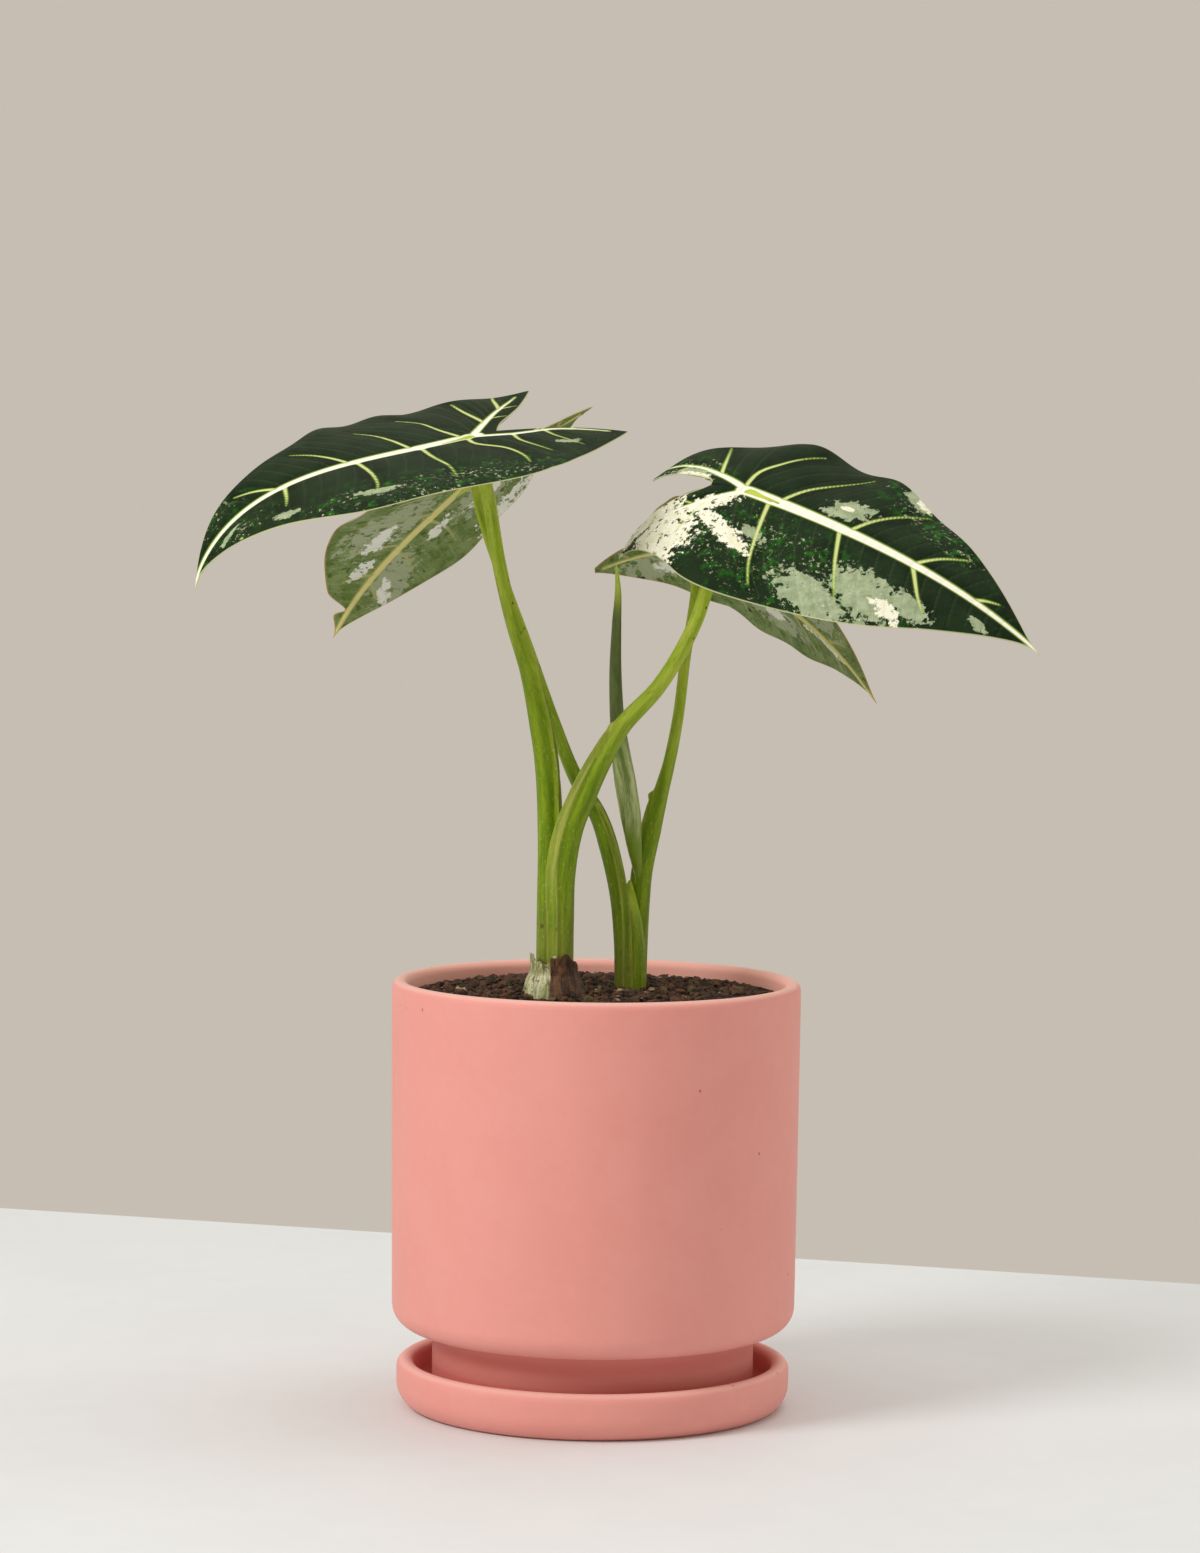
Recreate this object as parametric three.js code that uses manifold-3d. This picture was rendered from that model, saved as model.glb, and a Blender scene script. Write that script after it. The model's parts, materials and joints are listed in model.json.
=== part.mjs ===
// A young variegated alocasia in a matte ceramic pot with its own saucer.
// Millimetres, +Z up. The origin is the middle of the saucer's flat underside, on the pot's axis.
// The plant's own heights are counted from the soil's crown, so the plant rises with the pot.

import * as THREE from 'three';
import { mergeVertices } from 'three/addons/utils/BufferGeometryUtils.js';
import Module from 'manifold-3d';

const wasm = await Module();
wasm.setup();

// ---------------------------------------------------------------- driving dimensions

const FIT_GAP = 0.3;              // air between two pieces that touch

const POT_DIAMETER = 139.4;       // at the widest, just under the lip
const POT_TAPER = 1.6;            // how much narrower the body is at its foot end
const POT_BODY_HEIGHT = 119;      // from the body's underside to the lip
const POT_WALL = 5.4;
const POT_CORNER = 8;             // outside radius of the body's bottom corner
const POT_FOOT_INSET = 14.7;      // from the body's side in to the foot
const POT_FOOT_HEIGHT = 20.7;
const POT_FLOOR = 6;
const DRAIN_HOLE_DIAMETER = 14;

const SAUCER_FLOOR = 6;
const SAUCER_HEIGHT = 16;
const SAUCER_WALL = 6.2;
const SAUCER_MARGIN = 6;          // from the foot out to the saucer's wall
const SAUCER_BASE_INSET = 4.8;    // from the bellied side in to the flat underside
const SAUCER_BELLY = [[0.1, 2.6], [0.28, 0.9], [0.5, 0]];   // share of the height, and inset
const SAUCER_COVE = 3;            // radius where the floor meets the wall

const SOIL_BELOW_LIP = 5;         // soil's edge, under the lip
const SOIL_CROWN = 2.5;           // the crown stands this much above the soil's edge
const SOIL_LUMP = 0.35;

const BLADE_THICKNESS = 1;
const JOIN_DROP = 2;              // a stem ends this far under its blade's mid-surface
const JOIN_NECK = 0.85;           // it keeps its full radius over this share of its last stretch
const JOIN_TAPER = 0.4;           // share of its radius left at the blade
const SHEATH_RUN_OUT = 10;        // the length over which a sheath's wing fades out
const WING_SHARPNESS = 6;
const SCALE_THICKNESS = 0.7;      // dry sheaths around the left plant's neck
const ROOT_RADIUS = 1.3;

// Smoothness of the faceted solids
const POT_SIDES = 44;
const CORM_SIDES = 14;
const STEM_SIDES = 8;
const STEM_STEPS = 20;
const ROOT_SIDES = 6;
const ROOT_STEPS = 6;
const BLADE_RINGS = 5;
const OUTER_EDGE_POINTS = 17;
const INNER_EDGE_POINTS = 5;

// ---------------------------------------------------------------- heights and radii that follow

const degrees = THREE.MathUtils.degToRad;
const potRadius = POT_DIAMETER / 2;
const footRadius = potRadius - POT_FOOT_INSET;
const footBottom = SAUCER_FLOOR + FIT_GAP;
const bodyBottom = footBottom + POT_FOOT_HEIGHT;
const potTop = bodyBottom + POT_BODY_HEIGHT;
const saucerInner = footRadius + SAUCER_MARGIN;
const saucerRadius = saucerInner + SAUCER_WALL;
const soilEdge = potTop - SOIL_BELOW_LIP;
const soilTop = soilEdge + SOIL_CROWN;

// ---------------------------------------------------------------- the plant's own sizes

// Stems: where each runs, as [x, y, height over the soil, radius]. The last point, where it
// joins its blade, comes from the blade. The sheath is the winged lower part of the stem:
// it stands out by wing on the side that it faces, up to its top.
const STEMS = {
  stem_front_left: {
    blade: 'blade_front_left',
    path: [
      [-16.6, -9.4, 6.8, 4.05], [-16.6, -9.2, 28, 3.9], [-16.8, -8.6, 50, 3.7], [-18.1, -8, 75, 3.5],
      [-20.5, -8, 90, 3.2], [-24.6, -8, 108, 2.6], [-29.9, -8, 125, 2.4], [-34.6, -8.5, 145, 2.35],
      [-38.9, -9.4, 169, 2.3],
    ],
    sheath: { top: 110, wing: 1.3, faces: 10 },
  },
  stem_front_right: {
    blade: 'blade_front_right',
    path: [
      [-12, -17.9, 6.8, 4.05], [-12, -17.8, 24, 4.2], [-12, -17.5, 42, 4.7], [-9.4, -17, 56, 4.5],
      [-5, -16.5, 67, 4.4], [0.8, -16, 79, 3.9], [7.6, -15, 90, 3.1], [20.1, -14, 104, 2.6],
      [31.4, -12.5, 124, 2.35], [37.5, -10.5, 142, 2.35],
    ],
    sheath: { top: 90, wing: 0.9, faces: 150 },
  },
  stem_back_left: {
    blade: 'blade_back_left',
    path: [
      [9, -2.6, -1.7, 3.05], [8.8, -2.4, 15, 3.05], [7.3, -2, 32, 3.2], [3.3, 0, 49, 3.3],
      [-0.4, 2, 59, 3], [-8.3, 5, 72, 2.5], [-16.4, 10.5, 92, 2.1], [-24.6, 18, 114, 1.9],
      [-33.9, 28, 138, 1.85], [-42.8, 37, 164, 1.75],
    ],
    sheath: { top: 62, wing: 0.7, faces: 200 },
  },
  stem_back_right: {
    blade: 'blade_back_right',
    path: [
      [13.8, 3.6, -1.7, 3.05], [14.2, 3.6, 14, 3.1], [14.8, 4, 30, 3.2], [15.6, 4.6, 40, 3.2],
      [18.2, 6.4, 53, 3.2], [21.3, 9, 66, 2.6], [24, 11.4, 76, 2.1], [27, 15, 92, 1.9],
      [29.3, 20, 112, 1.8], [32.4, 26.5, 131, 1.85],
    ],
    sheath: { top: 66, wing: 0.9, faces: 190 },
  },
};

// Blades: arrow shapes. The junction is where the stem joins; heading is the midrib's compass
// direction and pitch its climb there. Along the midrib it droops, sweeps sideways and twists,
// all in degrees over its length. Each half has its own width, lobe length and lobe tip inset.
const BLADES = {
  blade_front_left: {
    junction: [-44, -10, 186.5], heading: 216.7, pitch: -12, roll: -11,
    length: 120.5, sinus: 10.7, droop: -8.7, tipDroop: 78, lobeDroop: 0, sweep: -17.4, twist: -8.5,
    camber: 11.7, waves: 4,
    left: {
      width: 45.8, lobe: 51.4, tipInset: 0.44, fullness: 1.2,
      rise: 3.9, lobeRise: -8, lobeSag: 0.09, wave: 0, phase: 0,
    },
    right: {
      width: 43.4, lobe: 46.2, tipInset: 0.65, fullness: 0.78,
      rise: 5, lobeRise: 2, lobeSag: 0, wave: 2, phase: -31,
    },
  },
  blade_front_right: {
    junction: [49.2, -10, 169.2], heading: -31.9, pitch: -16.6, roll: 31.3,
    length: 119.9, sinus: 15, droop: 12.5, tipDroop: 11.9, lobeDroop: 78, sweep: 7.3, twist: 8,
    camber: 17.5, waves: 3.2,
    left: {
      width: 37.6, lobe: 49, tipInset: 0.43, fullness: 0.91,
      rise: 2, lobeRise: 0, lobeSag: 0.26, wave: 2.4, phase: 53,
    },
    right: {
      width: 43.6, lobe: 55.6, tipInset: 0.42, fullness: 1.03,
      rise: -2.6, lobeRise: 0, lobeSag: 0.53, wave: 0, phase: 0,
    },
  },
  blade_back_left: {
    junction: [-44.4, 40, 173.3], heading: 135.2, pitch: -33, roll: -12.7,
    length: 94.9, sinus: 10, droop: -0.7, tipDroop: 24, lobeDroop: 10.5, sweep: -1, twist: 37.8,
    camber: 5.7, waves: 3,
    left: {
      width: 39.4, lobe: 38.2, tipInset: 0.56, fullness: 1.01,
      rise: 3.7, lobeRise: -1, lobeSag: 0.02, wave: 0.8, phase: 0,
    },
    right: {
      width: 40, lobe: 44.5, tipInset: 0.52, fullness: 1.04,
      rise: 3.7, lobeRise: -3, lobeSag: 0.09, wave: 0.8, phase: 90,
    },
  },
  blade_back_right: {
    junction: [34.8, 38, 148.3], heading: -34.3, pitch: -22.4, roll: -35.9,
    length: 88.3, sinus: 11.1, droop: 19.7, tipDroop: 13, lobeDroop: 32.8, sweep: 2.2, twist: -8.6,
    camber: 10.5, waves: 3,
    left: {
      width: 38.1, lobe: 55.8, tipInset: 0.56, fullness: 1.03,
      rise: 5.4, lobeRise: -9, lobeSag: 0.28, wave: 0.6, phase: 40,
    },
    right: {
      width: 36, lobe: 24, tipInset: 0.4, fullness: 1,
      rise: 5.8, lobeRise: -17, lobeSag: 0.12, wave: 0, phase: 0,
    },
  },
};

// The unopened leaf, rolled into a spear, standing in the fork of the right plant.
const SPEAR_PATH = [
  [11.4, 0.4, 46, 1.2], [11.6, 0, 52, 2.6], [11.4, -1.4, 60, 3.5], [9.1, -2.6, 71, 3.6],
  [6.9, -3.4, 84, 3], [6.1, -4, 92, 2.5], [5.3, -5, 108, 2.2], [5.5, -5.6, 125, 1.65],
  [5.8, -6, 135, 1.15], [5.1, -6, 144, 0.45],
];

// Corms: the swollen necks that the stems grow from, with roots in the soil. The top is an
// oval that carries the two stems' feet; the sizes below are its shape downwards.
const CORM_LIP = 0.4;             // the top reaches this far past the stems' feet
const CORM_SHAPE = [[0.5, 1], [2, 1.1], [6.5, 1.3], [16, 1.34], [26, 1.2], [34, 0.72]];
const CORM_DEPTH = 38;
const ROOT_START = 0.6;           // roots leave the corm at this share of its half width
const ROOT_DEPTH = 72;
// A root's course: how far out in x and in y, how far down, and its share of the full radius.
const ROOT_SHAPE = [[0, 0, 26, 1], [9, 9, 38, 1], [13, 12, 56, 0.8], [11, 14, ROOT_DEPTH, 0.5]];
const CORM_HOLLOW_ABOVE = 12;     // the soil's hollow for a corm is open this far over its top
const CORMS = {
  corm_left: { stems: ['stem_front_left', 'stem_front_right'], roots: 5, rootTurn: 20 },
  corm_right: { stems: ['stem_back_left', 'stem_back_right'], roots: 4, rootTurn: 65 },
};

// Dry sheaths of old leaves, wrapped around the left corm's neck between two compass angles.
const SCALES = {
  papery_sheath: { from: 150, to: 268, bottom: -3.5, top: 14, peak: 0.35 },
  brown_sheath: { from: 271, to: 372, bottom: -3.5, top: 12, peak: 0.3 },
};

// ---------------------------------------------------------------- materials

function matte(colour, roughness) {
  return new THREE.MeshStandardMaterial({ color: colour, roughness, metalness: 0 });
}

// ---------------------------------------------------------------- helpers

// Moves every vertex of a geometry to the place that the function gives for it.
function reshape(geometry, place) {
  const position = geometry.attributes.position;
  const corner = new THREE.Vector3();
  for (let i = 0; i < position.count; i += 1) {
    corner.fromBufferAttribute(position, i);
    const moved = place(corner);
    position.setXYZ(i, moved.x, moved.y, moved.z);
  }
  return geometry;
}

function welded(geometry) {
  geometry.deleteAttribute('normal');
  geometry.deleteAttribute('uv');
  return mergeVertices(geometry, 1e-4);
}

function solidOf(geometry) {
  const merged = welded(geometry.clone());
  return new wasm.Manifold(new wasm.Mesh({
    numProp: 3,
    vertProperties: new Float32Array(merged.attributes.position.array),
    triVerts: new Uint32Array(merged.index.array),
  }));
}

function geometryOf(solid) {
  const mesh = solid.getMesh();
  const geometry = new THREE.BufferGeometry();
  geometry.setAttribute('position', new THREE.BufferAttribute(new Float32Array(mesh.vertProperties), 3));
  geometry.setIndex(Array.from(mesh.triVerts));
  return geometry;
}

// A profile of radius and height, turned about the upright axis. It runs up the outside.
function turned(points, sides) {
  const profile = points.map(([radius, height]) => new THREE.Vector2(radius, height));
  return new THREE.LatheGeometry(profile, sides).rotateX(Math.PI / 2);
}

// Points on an arc about [radius, height], from one angle to another.
function arc(radius, height, size, from, to, steps) {
  const points = [];
  for (let i = 0; i <= steps; i += 1) {
    const angle = degrees(from + (to - from) * (i / steps));
    points.push([radius + size * Math.cos(angle), height + size * Math.sin(angle)]);
  }
  return points;
}

function named(name, geometry, material) {
  const mesh = new THREE.Mesh(geometry, material);
  mesh.name = name;
  return mesh;
}

// ---------------------------------------------------------------- saucer and pot

function saucerGeometry() {
  const base = saucerRadius - SAUCER_BASE_INSET;
  const lip = SAUCER_WALL / 2;
  const lipHeight = SAUCER_HEIGHT - lip;
  return turned([
    [0, 0],
    [base, 0],
    ...SAUCER_BELLY.map(([height, inset]) => [saucerRadius - inset, SAUCER_HEIGHT * height]),
    ...arc(saucerRadius - lip, lipHeight, lip, 0, 180, 5),
    ...arc(saucerInner - SAUCER_COVE, SAUCER_FLOOR + SAUCER_COVE, SAUCER_COVE, 360, 270, 3),
    [0, SAUCER_FLOOR],
  ], POT_SIDES);
}

// The inside of the pot, floor to lip, as radius and height. The soil's side follows it.
function potInside(gap) {
  const wide = potRadius - POT_WALL - gap;
  const narrow = footRadius - POT_WALL - gap;
  const floor = footBottom + POT_FLOOR + gap;
  const step = bodyBottom + POT_FLOOR + gap;
  const corner = Math.max(POT_CORNER - POT_WALL, 1);
  return [
    [narrow - 2, floor],
    [narrow, floor + 2],
    [narrow, step - 1],
    [narrow + 1, step],
    ...arc(wide - POT_TAPER / 2 - corner, step + corner, corner, 270, 360, 3),
    [wide, soilEdge],
  ];
}

function potGeometry() {
  const lip = POT_WALL / 2;
  const lipHeight = potTop - lip;
  const hole = DRAIN_HOLE_DIAMETER / 2;
  const bottomRadius = potRadius - POT_TAPER / 2;
  const outside = [
    [hole, footBottom],
    [footRadius - 1, footBottom],
    [footRadius, footBottom + 1],
    [footRadius, bodyBottom - 1],
    [footRadius + 1, bodyBottom],
    ...arc(bottomRadius - POT_CORNER, bodyBottom + POT_CORNER, POT_CORNER, 270, 360, 4),
  ];
  const top = arc(potRadius - lip, lipHeight, lip, 0, 180, 5);
  const inside = potInside(0).reverse();
  const floor = footBottom + POT_FLOOR;
  return turned([...outside, ...top, ...inside, [hole, floor], [hole, footBottom]], POT_SIDES);
}

// ---------------------------------------------------------------- stems

const NO_SHEATH = { top: -1000, wing: 0, faces: 0 };

// A round stem along a smooth line, with its radius and the sheath's wing.
function stemGeometry(path, sheath, grow = 0, sides = STEM_SIDES, steps = STEM_STEPS) {
  const line = new THREE.CatmullRomCurve3(path.map(([x, y, z]) => new THREE.Vector3(x, y, z)));
  const front = new THREE.Vector3(0, -1, 0);
  const place = (corner) => {
    const along = corner.y + 0.5;
    const centre = line.getPoint(along);
    const across = line.getTangent(along).cross(front).normalize();
    const forward = across.clone().cross(line.getTangent(along)).normalize();
    const step = along * (path.length - 1);
    const from = Math.min(Math.floor(step), path.length - 2);
    const radius = THREE.MathUtils.lerp(path[from][3], path[from + 1][3], step - from) + grow;
    const angle = Math.atan2(corner.z, corner.x);
    const spread = Math.hypot(corner.x, corner.z);
    const fade = Math.min(Math.max((sheath.top - centre.z) / SHEATH_RUN_OUT, 0), 1);
    const lean = Math.cos(angle - degrees(sheath.faces));
    const reach = spread * (radius + sheath.wing * fade * Math.max(lean, 0) ** WING_SHARPNESS);
    return centre
      .addScaledVector(across, reach * Math.cos(angle))
      .addScaledVector(forward, reach * Math.sin(angle));
  };
  return reshape(new THREE.CylinderGeometry(1, 1, 1, sides, steps), place);
}

function stemWithBlade(stem) {
  const { middle, normal } = bladeSurface(BLADES[stem.blade])(0, 0);
  const join = middle.addScaledVector(normal, -JOIN_DROP);
  const last = stem.path[stem.path.length - 1];
  const neck = new THREE.Vector3(...last).lerp(join, JOIN_NECK);
  return [...stem.path, [neck.x, neck.y, neck.z, last[3]], [join.x, join.y, join.z, last[3] * JOIN_TAPER]];
}

// ---------------------------------------------------------------- blades

// The midrib, in steps along its length, from the back of the lobes to the tip.
function midribSteps(blade) {
  const count = 96;
  const [back, tip] = [-0.6, 1];
  const steps = [];
  const place = new THREE.Vector3();
  let previous = null;
  for (let i = 0; i <= count; i += 1) {
    const share = back + (tip - back) * (i / count);
    const ahead = blade.droop * share + blade.tipDroop * share ** 3;
    const pitch = degrees(blade.pitch - (share > 0 ? ahead : blade.lobeDroop * share));
    const turn = degrees(blade.sweep * Math.max(share, 0));
    const along = new THREE.Vector3(
      Math.cos(pitch) * Math.cos(turn),
      Math.cos(pitch) * Math.sin(turn),
      Math.sin(pitch),
    );
    if (previous) {
      const stretch = (blade.length * (tip - back)) / count / 2;
      place.addScaledVector(previous, stretch).addScaledVector(along, stretch);
    }
    steps.push({ share, turn, along, place: place.clone() });
    previous = along;
  }
  const start = steps.reduce((best, step) => (Math.abs(step.share) < Math.abs(best.share) ? step : best));
  const origin = start.place.clone();
  steps.forEach((step) => step.place.sub(origin));
  return steps;
}

// Gives the place and the upward normal of a blade's mid-surface, at a distance ahead of the
// junction along the midrib and a distance out to the left of it.
function bladeSurface(blade) {
  const steps = midribSteps(blade);
  const span = steps[steps.length - 1].share - steps[0].share;
  const at = (ahead, out) => {
    const share = ahead / blade.length;
    const last = steps.length - 1;
    const index = THREE.MathUtils.clamp(((share - steps[0].share) / span) * last, 0, last);
    const low = Math.min(Math.floor(index), last - 1);
    const mix = index - low;
    const place = steps[low].place.clone().lerp(steps[low + 1].place, mix);
    const along = steps[low].along.clone().lerp(steps[low + 1].along, mix).normalize();
    const turn = THREE.MathUtils.lerp(steps[low].turn, steps[low + 1].turn, mix);
    const level = new THREE.Vector3(-Math.sin(turn), Math.cos(turn), 0);
    const up = along.clone().cross(level);
    const twist = degrees(blade.roll + blade.twist * Math.max(share, 0));
    const side = level.clone().multiplyScalar(Math.cos(twist)).addScaledVector(up, Math.sin(twist));
    const top = up.clone().multiplyScalar(Math.cos(twist)).addScaledVector(level, -Math.sin(twist));

    const half = out > 0 ? blade.left : blade.right;
    const back = THREE.MathUtils.clamp(-ahead / half.lobe, 0, 1);
    const rise = degrees(half.rise + half.lobeRise * back);
    const bend = degrees(blade.camber) / half.width;
    const reach = Math.abs(out);
    const across = (Math.sin(rise) - Math.sin(rise - bend * reach)) / bend;
    const arch = (Math.cos(rise - bend * reach) - Math.cos(rise)) / bend;
    const sag = half.lobeSag * half.lobe * back ** 2 * 0.5;
    const ripple = Math.sin(2 * Math.PI * blade.waves * share + degrees(half.phase));
    const wave = half.wave * (reach / half.width) ** 2 * ripple;
    place.addScaledVector(side, across * Math.sign(out)).addScaledVector(top, arch - sag + wave);
    place.applyAxisAngle(new THREE.Vector3(0, 0, 1), degrees(blade.heading));
    return place.add(new THREE.Vector3(...blade.junction));
  };
  const small = 0.5;
  return (ahead, out) => {
    const middle = at(ahead, out);
    const forward = at(ahead + small, out).sub(at(ahead - small, out));
    const leftward = at(ahead, out + small).sub(at(ahead, out - small));
    return { middle, normal: forward.cross(leftward).normalize() };
  };
}

// One half's edge from the drip tip round the lobe to the sinus, as distances ahead and out.
function halfEdge(blade, half) {
  const { length, sinus } = blade;
  const { width, lobe, tipInset, fullness } = half;
  const outer = new THREE.SplineCurve([
    [length, 0],
    [length * 0.95, width * 0.035],
    [length * 0.88, width * 0.15 * fullness],
    [length * 0.74, width * 0.4 * fullness],
    [length * 0.54, width * 0.71 * fullness],
    [length * 0.3, width * 0.93],
    [length * 0.04, width],
    [-lobe * 0.35, width * (0.63 + 0.45 * tipInset)],
    [-lobe * 0.75, width * (0.315 + 0.65 * tipInset)],
    [-lobe, width * tipInset],
  ].map(([ahead, out]) => new THREE.Vector2(ahead, out)));
  const inner = new THREE.SplineCurve([
    [-lobe, width * tipInset],
    [-lobe * 0.66, width * tipInset * 0.52],
    [-lobe * 0.36, width * tipInset * 0.2],
    [-sinus, 0],
  ].map(([ahead, out]) => new THREE.Vector2(ahead, out)));
  return [...outer.getPoints(OUTER_EDGE_POINTS), ...inner.getPoints(INNER_EDGE_POINTS).slice(1)];
}

// A thin closed leaf blade: rings of points about the junction, above and below.
function bladeGeometry(blade) {
  const left = halfEdge(blade, blade.left).map((point) => [point.x, point.y]);
  const right = halfEdge(blade, blade.right).map((point) => [point.x, -point.y]);
  const edge = [...left, ...right.reverse().slice(1, -1)];
  const surface = bladeSurface(blade);
  const corners = [];
  const layers = [BLADE_THICKNESS / 2, -BLADE_THICKNESS / 2];
  layers.forEach((offset) => {
    const lift = ([ahead, out]) => {
      const { middle, normal } = surface(ahead, out);
      corners.push(...middle.addScaledVector(normal, offset).toArray());
    };
    lift([0, 0]);
    for (let ring = 1; ring <= BLADE_RINGS; ring += 1) {
      const share = ring / BLADE_RINGS;
      edge.forEach(([ahead, out]) => lift([ahead * share, out * share]));
    }
  });
  const around = edge.length;
  const layerSize = 1 + around * BLADE_RINGS;
  const faces = [];
  const quad = (a, b, c, d) => faces.push(a, b, c, a, c, d);
  for (let i = 0; i < around; i += 1) {
    const next = (i + 1) % around;
    faces.push(0, 1 + i, 1 + next);
    faces.push(layerSize, layerSize + 1 + next, layerSize + 1 + i);
    for (let ring = 1; ring < BLADE_RINGS; ring += 1) {
      const inner = 1 + around * (ring - 1);
      const outer = inner + around;
      quad(inner + i, outer + i, outer + next, inner + next);
      const [innerUnder, outerUnder] = [layerSize + inner, layerSize + outer];
      quad(innerUnder + i, innerUnder + next, outerUnder + next, outerUnder + i);
    }
    const rim = 1 + around * (BLADE_RINGS - 1);
    quad(rim + i, layerSize + rim + i, layerSize + rim + next, rim + next);
  }
  const geometry = new THREE.BufferGeometry();
  geometry.setAttribute('position', new THREE.Float32BufferAttribute(corners, 3));
  geometry.setIndex(faces);
  return geometry;
}

// ---------------------------------------------------------------- corms and dry sheaths

// The oval that two stems' feet stand on: its middle, its top and its half widths. It starts as
// the box around the feet and grows until their round outlines lie inside it.
function cormOval(corm) {
  const feet = corm.stems.map((name) => STEMS[name].path[0]);
  const low = [0, 1].map((axis) => Math.min(...feet.map((foot) => foot[axis] - foot[3])));
  const high = [0, 1].map((axis) => Math.max(...feet.map((foot) => foot[axis] + foot[3])));
  const middle = [(low[0] + high[0]) / 2, (low[1] + high[1]) / 2];
  const box = [(high[0] - low[0]) / 2, (high[1] - low[1]) / 2];
  let reach = 0;
  feet.forEach(([x, y, , radius]) => {
    for (let angle = 0; angle < 2 * Math.PI; angle += Math.PI / 12) {
      const [dx, dy] = [x + radius * Math.cos(angle) - middle[0], y + radius * Math.sin(angle) - middle[1]];
      reach = Math.max(reach, Math.hypot(dx / box[0], dy / box[1]));
    }
  });
  return {
    middle,
    half: box.map((size) => size * reach + CORM_LIP),
    top: feet[0][2] - FIT_GAP,
  };
}

// A corm with its roots. Grown by a gap, it is also the hollow that the soil keeps for it.
function cormSolid(corm, grow) {
  const { middle, half, top } = cormOval(corm);
  const size = (half[0] + half[1]) / 2;
  const rings = CORM_SHAPE.map(([down, share]) => [size * share + grow, top - down]).reverse();
  const crown = grow > 0 ? top + CORM_HOLLOW_ABOVE : top;
  const neck = rings[rings.length - 1][0];
  const profile = [[0, top - CORM_DEPTH - grow], ...rings, [neck, crown], [0, crown]];
  const body = turned(profile, CORM_SIDES)
    .scale(half[0] / size, half[1] / size, 1)
    .translate(middle[0], middle[1], 0);
  let solid = solidOf(body);
  for (let i = 0; i < corm.roots; i += 1) {
    const turn = degrees(corm.rootTurn + (360 / corm.roots) * i);
    const [dx, dy] = [Math.cos(turn), Math.sin(turn)];
    const reach = size * ROOT_START;
    const root = ROOT_SHAPE.map(([outX, outY, down, thickness]) => [
      middle[0] + dx * (reach + outX),
      middle[1] + dy * (reach + outY),
      top - down - (down === ROOT_DEPTH ? grow : 0),
      ROOT_RADIUS * thickness,
    ]);
    solid = solid.add(solidOf(stemGeometry(root, NO_SHEATH, grow, ROOT_SIDES, ROOT_STEPS)));
  }
  return solid;
}

// A thin dry sheath standing around the left corm's neck, one gap out from it.
function scaleGeometry(scale) {
  const { middle, half, top } = cormOval(CORMS.corm_left);
  const size = (half[0] + half[1]) / 2;
  const neck = (height) => {
    const down = Math.max(top - height, 0);
    const next = Math.max(CORM_SHAPE.findIndex(([depth]) => depth > down), 1);
    const [above, below] = [CORM_SHAPE[next - 1], CORM_SHAPE[next]];
    const mix = Math.max((down - above[0]) / (below[0] - above[0]), 0);
    return THREE.MathUtils.lerp(above[1], below[1], mix);
  };
  const place = (corner) => {
    const across = 0.5 - corner.x;
    const ragged = 1 - 0.5 * Math.abs(across - scale.peak) - 0.12 * Math.sin(across * 17);
    const height = scale.bottom + (corner.z + 0.5) * (scale.top - scale.bottom) * ragged;
    const angle = degrees(THREE.MathUtils.lerp(scale.from, scale.to, across));
    const out = (share) => share * neck(height) + FIT_GAP * 2 + SCALE_THICKNESS * (corner.y + 0.5);
    return new THREE.Vector3(
      middle[0] + out(half[0]) * Math.cos(angle),
      middle[1] + out(half[1]) * Math.sin(angle),
      height,
    );
  };
  return reshape(new THREE.BoxGeometry(1, 1, 1, 9, 1, 4), place);
}

// ---------------------------------------------------------------- soil

// The soil fills the pot to its edge and rises to a lumpy crown. Rings of the top come from
// the same lathe; the lumps fade out at the wall.
function soilSolid() {
  const side = potInside(FIT_GAP);
  const rim = side[side.length - 1][0];
  const crown = (share) => [rim * share, soilEdge + SOIL_CROWN * (1 - share ** 2)];
  const rings = [0.8, 0.6, 0.4, 0.2].map(crown);
  const profile = [[0, side[0][1]], ...side, ...rings, [0, soilTop]];
  const lumps = (corner) => {
    const share = Math.hypot(corner.x, corner.y) / rim;
    const onTop = corner.z > soilEdge + 0.1 ? 1 - share : 0;
    const lump = Math.sin(corner.x * 0.61) * Math.sin(corner.y * 0.53 + 1) * SOIL_LUMP;
    return corner.clone().setZ(corner.z + lump * onTop);
  };
  const body = solidOf(reshape(turned(profile, POT_SIDES), lumps));
  const raised = (solid) => solid.translate([0, 0, soilTop]);
  let soil = body;
  Object.values(CORMS).forEach((corm) => {
    soil = soil.subtract(raised(cormSolid(corm, FIT_GAP)));
  });
  return soil.subtract(raised(neckHollow()));
}

// Room in the soil for the dry sheaths around the left corm.
function neckHollow() {
  const { middle, half } = cormOval(CORMS.corm_left);
  const size = (half[0] + half[1]) / 2;
  const widest = Math.max(...CORM_SHAPE.map(([, share]) => share));
  const wide = size * widest + SCALE_THICKNESS + FIT_GAP * 4;
  const bottom = SCALES.papery_sheath.bottom - FIT_GAP;
  const profile = [[0, bottom], [wide, bottom], [wide, CORM_HOLLOW_ABOVE], [0, CORM_HOLLOW_ABOVE]];
  return solidOf(turned(profile, CORM_SIDES)
    .scale(half[0] / size, half[1] / size, 1)
    .translate(middle[0], middle[1], 0));
}

// ---------------------------------------------------------------- assembly

const POT_COLOUR = 0xe69a8d;
const GREEN_STEM = 0x8fae3f;

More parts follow.
